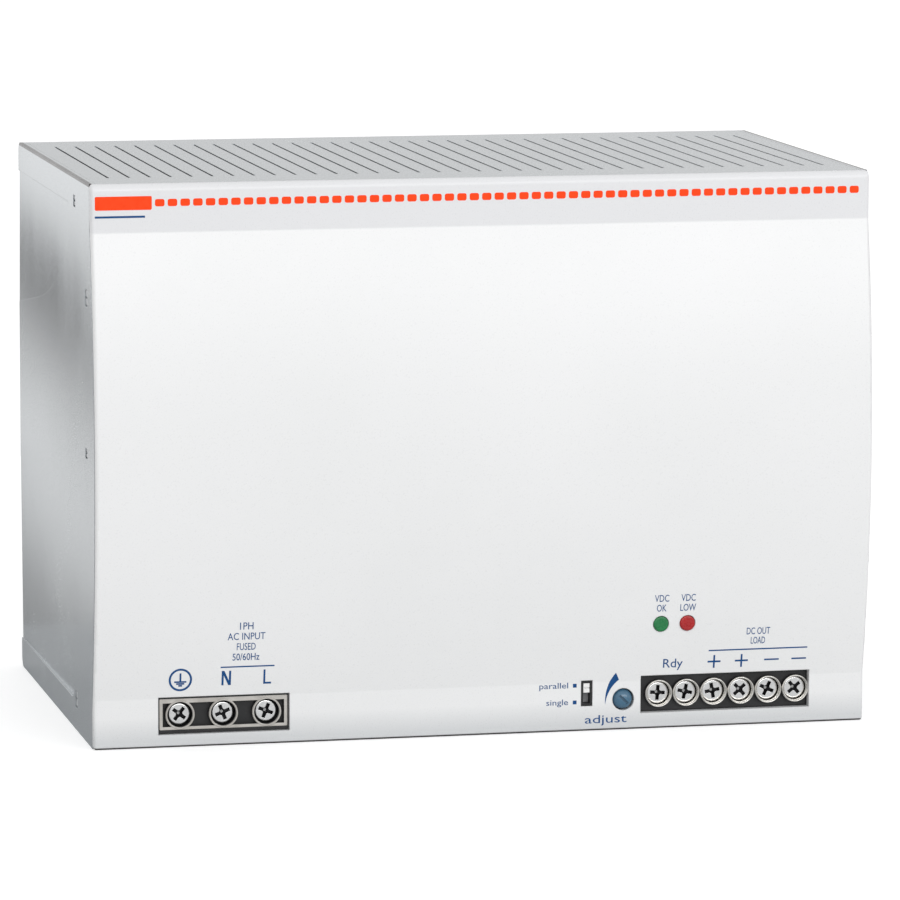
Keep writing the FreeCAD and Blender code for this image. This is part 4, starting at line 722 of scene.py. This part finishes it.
def make_terminal_trim():
    """Frame round the supply terminals, and a ring on the rim of every screw well."""
    s = settings("terminals")
    face = 1.0
    poles = [middle(pole + "_screw") for pole in SUPPLY_POLES]
    span = (poles[0][0] - 4.6, poles[-1][0] + 4.6)
    h = poles[0][1]
    frame_shape = bmesh.new()

    def place(u, height, depth):
        return Vector((LEFT + u, STRIP_PLANE + depth, BOTTOM + height)) * MM

    outer = rounded(span, (h - s.frame_drop, h + s.frame_rise), 0.25)
    inner = bay_outline((span[0] + s.frame_side, span[1] - s.frame_side), s.frame_inner, s.supply_ring - 0.2,
                        [p[0] for p in poles], h)
    add_prism(frame_shape, (outer, inner), place, face - 0.2, face)
    new_piece("supply_terminal_frame", frame_shape, finishes["trim_beige"])
    rings = bmesh.new()
    for u, h, _ in poles:
        add_lathe(rings, (u, h), half_round(s.well + 0.02, s.supply_ring, face - 0.42, face))
    new_piece("supply_well_rings", rings, finishes["trim_beige"])
    rings = bmesh.new()
    for pole in OUTPUT_POLES:
        u, h, _ = middle(pole + "_screw")
        section = half_round(s.well - 0.13, s.output_ring, face - 0.3, face)
        section = section[:-1] + [(s.output_ring, face), (s.well - 0.02, face), (s.well - 0.02, 3.4),
                                  (s.well - 0.13, 3.4)]
        add_lathe(rings, (u, h), section)
    new_piece("output_well_rings", rings, finishes["ring_silver"])


def make_switch_floor():
    """Grey contact plate at the bottom of the slide switch's slot."""
    u, h, front = middle("mode_switch_body")
    plate = bmesh.new()

    def place(a, b, depth):
        return Vector((LEFT + a, STRIP_PLANE + depth, BOTTOM + b)) * MM

    outline = rounded((u - 0.76, u + 0.76), (h - 2.28, h + 2.28), 0.1)
    add_prism(plate, [outline], place, front + 1.66, front + 1.78)
    new_piece("switch_slot_plate", plate, finishes["slot_grey"])


def make_extra_finishes():
    finishes["trim_beige"] = plain_finish(
        "trim_beige", (0.42, 0.40, 0.37), (0.55, 0.53, 0.50), (0.28, 0.42), 3.0, 0.2, edge=0.08).material
    finishes["ring_silver"] = plain_finish(
        "ring_silver", (0.66, 0.64, 0.60), (0.82, 0.80, 0.76), (0.16, 0.28), 1.0, 0.15, Metallic=1.0).material
    finishes["slot_grey"] = plain_finish(
        "slot_grey", (0.20, 0.20, 0.21), (0.32, 0.32, 0.33), (0.35, 0.5), 1.0, 0.2).material


# --- stage --------------------------------------------------------------------------------------
def make_camera():
    s = settings("stage")
    data = bpy.data.cameras.new("camera")
    data.lens = s.lens
    data.sensor_width = 36.0
    data.clip_end = 30.0
    camera = bpy.data.objects.new("camera", data)
    forward = Vector((math.sin(s.azimuth) * math.cos(s.tilt), math.cos(s.azimuth) * math.cos(s.tilt),
                      -math.sin(s.tilt)))
    turn = forward.to_track_quat("-Z", "Y").to_matrix() @ Matrix.Rotation(s.roll, 3, "Z")
    camera.matrix_world = Matrix.Translation(s.camera_place) @ turn.to_4x4()
    bpy.context.scene.collection.objects.link(camera)
    bpy.context.scene.camera = camera


def flat_panel(name, corners, finish):
    """A four-cornered sheet of the stage, its corners in metres."""
    mesh = bpy.data.meshes.new(name)
    mesh.from_pydata(corners, [], [tuple(range(len(corners)))])
    mesh.materials.append(finish)
    panel = bpy.data.objects.new(name, mesh)
    bpy.context.scene.collection.objects.link(panel)
    return panel


def area_light(name, place, target, size, power):
    data = bpy.data.lights.new(name, "AREA")
    data.shape = "RECTANGLE"
    data.size, data.size_y = size
    data.energy = power
    light = bpy.data.objects.new(name, data)
    direction = Vector(target) - Vector(place)
    light.matrix_world = Matrix.Translation(place) @ direction.to_track_quat("-Z", "Y").to_matrix().to_4x4()
    light.visible_camera = False
    bpy.context.scene.collection.objects.link(light)
    return light


def floor_finish(glow):
    """Pale matt floor, plain to the camera and a little darker in the plated sheet."""
    made = plain_finish("floor", (0.69, 0.69, 0.69), (0.71, 0.71, 0.71), (0.6, 0.7), 400.0, 5.0, relief=0.02)
    path = made.node("LightPath")
    seen = path.outputs["Is Camera Ray"]
    made.set("Base Color", made.drift(path.outputs["Is Glossy Ray"], (0.70, 0.70, 0.70), (0.46, 0.47, 0.48)))
    made.shader.inputs["Emission Color"].default_value = (1, 1, 1, 1)
    made.set("Emission Strength", made.ranged(seen, 0.0, glow, 0.0, 1.0))
    return made.material


# Brightness of the cards that the plated sheet mirrors, at distances along them in millimetres.
SIDE_TONES = ((0, 0.30), (14, 0.52), (27, 0.78), (45, 0.96), (62, 0.72), (75, 0.38), (88, 0.08), (98, 0.50),
              (115, 1.55), (250, 1.3))
BACK_TONES = ((0, 0.76), (450, 0.74), (1000, 0.86))
SIDE_SLANT = 1.1
SIDE_LEVEL = -0.104     # X in metres where the slanting bands have their stated heights


def card_finish(name, tones, start, across=0.0):
    """Glowing card in soft bands: along X, or with a slant given, up and slanting towards X."""
    made = Finish(name, Base_Color=(0, 0, 0, 1), Roughness=1.0)
    made.shader.inputs["Specular IOR Level"].default_value = 0.0
    parts = made.node("SeparateXYZ", Vector=made.place)
    along = parts.outputs["X"]
    if across:
        slant = made.node("Math", operation="MULTIPLY_ADD")
        made.links.new(along, slant.inputs[0])
        slant.inputs[1].default_value = -across
        made.links.new(parts.outputs["Z"], slant.inputs[2])
        along = slant.outputs[0]
    top = tones[-1][0]
    ramp = made.node("ValToRGB", Fac=made.ranged(along, 0.0, 1.0, start, start + top * MM))
    ramp.color_ramp.interpolation = "B_SPLINE"
    stops = ramp.color_ramp.elements
    while len(stops) < len(tones):
        stops.new(0.5)
    for stop, (at, tone) in zip(stops, tones):
        stop.position = at / top
        stop.color = (tone, tone, tone, 1)
    made.set("Emission Color", ramp.outputs["Color"])
    made.shader.inputs["Emission Strength"].default_value = 1.0
    return made.material


def add_card(name, x, y, top, finish):
    """An upright card on the floor that only mirrors see."""
    z = BOTTOM * MM
    card = flat_panel(name, [(x[0], y, z), (x[1], y, z), (x[1], y, top), (x[0], y, top)], finish)
    for ray in ("camera", "diffuse", "shadow", "transmission", "volume_scatter"):
        setattr(card, "visible_" + ray, False)


def make_stage():
    """White surround, pale floor, a large soft light in front and two graded cards behind."""
    s = settings("stage")
    scene = bpy.context.scene
    scene.view_settings.view_transform = "Standard"
    world = bpy.data.worlds.new("surround")
    scene.world = world
    world.use_nodes = True
    back = world.node_tree.nodes["Background"]
    back.inputs["Color"].default_value = (1, 1, 1, 1)
    back.inputs["Strength"].default_value = s.sky
    z = BOTTOM * MM
    flat_panel("floor", [(-8, -8, z), (8, -8, z), (8, 8, z), (-8, 8, z)], floor_finish(s.glow))
    area_light("key", (0.35, -1.6, 0.53), (0, -0.06, 0.03), (1.6, 0.75), s.key)
    add_card("side_card", (-0.30, -0.095), 0.05, z + 0.25,
             card_finish("side_card", SIDE_TONES, z - SIDE_SLANT * SIDE_LEVEL, SIDE_SLANT))
    add_card("back_card", (-0.40, 0.60), 0.36, 0.60, card_finish("back_card", BACK_TONES, -0.40))
    make_camera()


# --- operators ----------------------------------------------------------------------------------
class SUPPLY_OT_casing(bpy.types.Operator):
    """Plated sheet of the casing and its screws"""

    bl_idname = "supply.casing"
    bl_label = "Casing"

    def execute(self, context):
        finish_parts("chassis_shell", "left_side_panel", "right_side_panel", "case_screws")
        return {"FINISHED"}


class SUPPLY_OT_cover(bpy.types.Operator):
    """White moulded front"""

    bl_idname = "supply.cover"
    bl_label = "Front cover"

    def execute(self, context):
        finish_parts("front_cover")
        return {"FINISHED"}


class SUPPLY_OT_stripe(bpy.types.Operator):
    """Dashed stripe and its tab"""

    bl_idname = "supply.stripe"
    bl_label = "Stripe"

    def execute(self, context):
        make_stripe()
        return {"FINISHED"}


class SUPPLY_OT_supply_markings(bpy.types.Operator):
    """Printed markings over the supply terminals"""

    bl_idname = "supply.supply_markings"
    bl_label = "Supply markings"

    def execute(self, context):
        make_supply_markings()
        return {"FINISHED"}


class SUPPLY_OT_output_markings(bpy.types.Operator):
    """Printed markings over the output terminals"""

    bl_idname = "supply.output_markings"
    bl_label = "Output markings"

    def execute(self, context):
        make_output_markings()
        return {"FINISHED"}


class SUPPLY_OT_control_markings(bpy.types.Operator):
    """Printed markings of the lights, the switch and the trimmer"""

    bl_idname = "supply.control_markings"
    bl_label = "Control markings"

    def execute(self, context):
        make_control_markings()
        return {"FINISHED"}


class SUPPLY_OT_terminals(bpy.types.Operator):
    """Terminal blocks, screws, clamps, current bars and the trim round the wells"""

    bl_idname = "supply.terminals"
    bl_label = "Terminals"

    def execute(self, context):
        finish_parts("input_terminal_block", "output_terminal_block")
        finish_parts("input_terminal_bars", "output_terminal_bars")
        for pole in SUPPLY_POLES + OUTPUT_POLES:
            finish_parts(pole + "_screw", pole + "_clamp")
        make_terminal_trim()
        return {"FINISHED"}


class SUPPLY_OT_controls(bpy.types.Operator):
    """Lights, trimmer, slide switch and their board"""

    bl_idname = "supply.controls"
    bl_label = "Controls"

    def execute(self, context):
        finish_parts("control_board", "light_pipe_green", "light_pipe_red", "status_led_chips", "trimmer_body",
                     "trimmer_knob", "mode_switch_body", "mode_switch_slider")
        make_switch_floor()
        return {"FINISHED"}


class SUPPLY_OT_rail_fixing(bpy.types.Operator):
    """Rail bracket, latch and springs"""

    bl_idname = "supply.rail_fixing"
    bl_label = "Rail fixing"

    def execute(self, context):
        finish_parts("din_bracket", "din_latch", "latch_springs", "bracket_screws")
        return {"FINISHED"}


class SUPPLY_OT_board(bpy.types.Operator):
    """Main board, its posts and screws, and the insulating sheet"""

    bl_idname = "supply.board"
    bl_label = "Main board"

    def execute(self, context):
        finish_parts("main_board", "board_standoffs", "board_screws", "insulating_sheet")
        return {"FINISHED"}


class SUPPLY_OT_components(bpy.types.Operator):
    """Everything that stands on the main board"""

    bl_idname = "supply.components"
    bl_label = "Board components"

    def execute(self, context):
        finish_parts(
            "film_capacitors", "filter_choke_core", "filter_choke_windings", "line_fuse", "fuse_clips",
            "bulk_capacitors", "primary_heat_sink", "power_transistors", "boost_choke_core",
            "boost_choke_winding", "transformer_core", "transformer_coil", "secondary_heat_sink",
            "output_rectifiers", "output_choke", "output_capacitors", "ready_relay")
        return {"FINISHED"}


class SUPPLY_OT_stage(bpy.types.Operator):
    """Floor, light and camera"""

    bl_idname = "supply.stage"
    bl_label = "Stage"

    def execute(self, context):
        make_stage()
        return {"FINISHED"}


OPERATORS = (
    SUPPLY_OT_casing, SUPPLY_OT_cover, SUPPLY_OT_stripe, SUPPLY_OT_supply_markings, SUPPLY_OT_output_markings,
    SUPPLY_OT_control_markings, SUPPLY_OT_terminals, SUPPLY_OT_controls, SUPPLY_OT_rail_fixing, SUPPLY_OT_board,
    SUPPLY_OT_components, SUPPLY_OT_stage,
)
GROUPS = {
    "stripe": StripeSettings,
    "markings": MarkingSettings,
    "terminals": TerminalSettings,
    "stage": StageSettings,
}


class SUPPLY_PT_panel(bpy.types.Panel):
    """Settings and makers of the power supply"""

    bl_idname = "SUPPLY_PT_panel"
    bl_label = "Power supply"
    bl_space_type = "VIEW_3D"
    bl_region_type = "UI"
    bl_category = "Power supply"

    def draw(self, context):
        for group, kind in GROUPS.items():
            box = self.layout.box()
            box.label(text=group.capitalize())
            for key in kind.__annotations__:
                box.prop(getattr(context.scene, "supply_" + group), key)
        for operator in OPERATORS:
            self.layout.operator(operator.bl_idname)


def register():
    for kind in (*GROUPS.values(), *OPERATORS, SUPPLY_PT_panel):
        bpy.utils.register_class(kind)
    for group, kind in GROUPS.items():
        setattr(bpy.types.Scene, "supply_" + group, bpy.props.PointerProperty(type=kind))


def unregister():
    for group in GROUPS:
        delattr(bpy.types.Scene, "supply_" + group)
    for kind in reversed((*GROUPS.values(), *OPERATORS, SUPPLY_PT_panel)):
        bpy.utils.unregister_class(kind)


def main():
    """Makes everything in order."""
    register()
    finishes.update(make_finishes())
    make_extra_finishes()
    for operator in OPERATORS:
        getattr(bpy.ops.supply, operator.bl_idname.split(".")[1])()


if __name__ == "__main__":
    main()
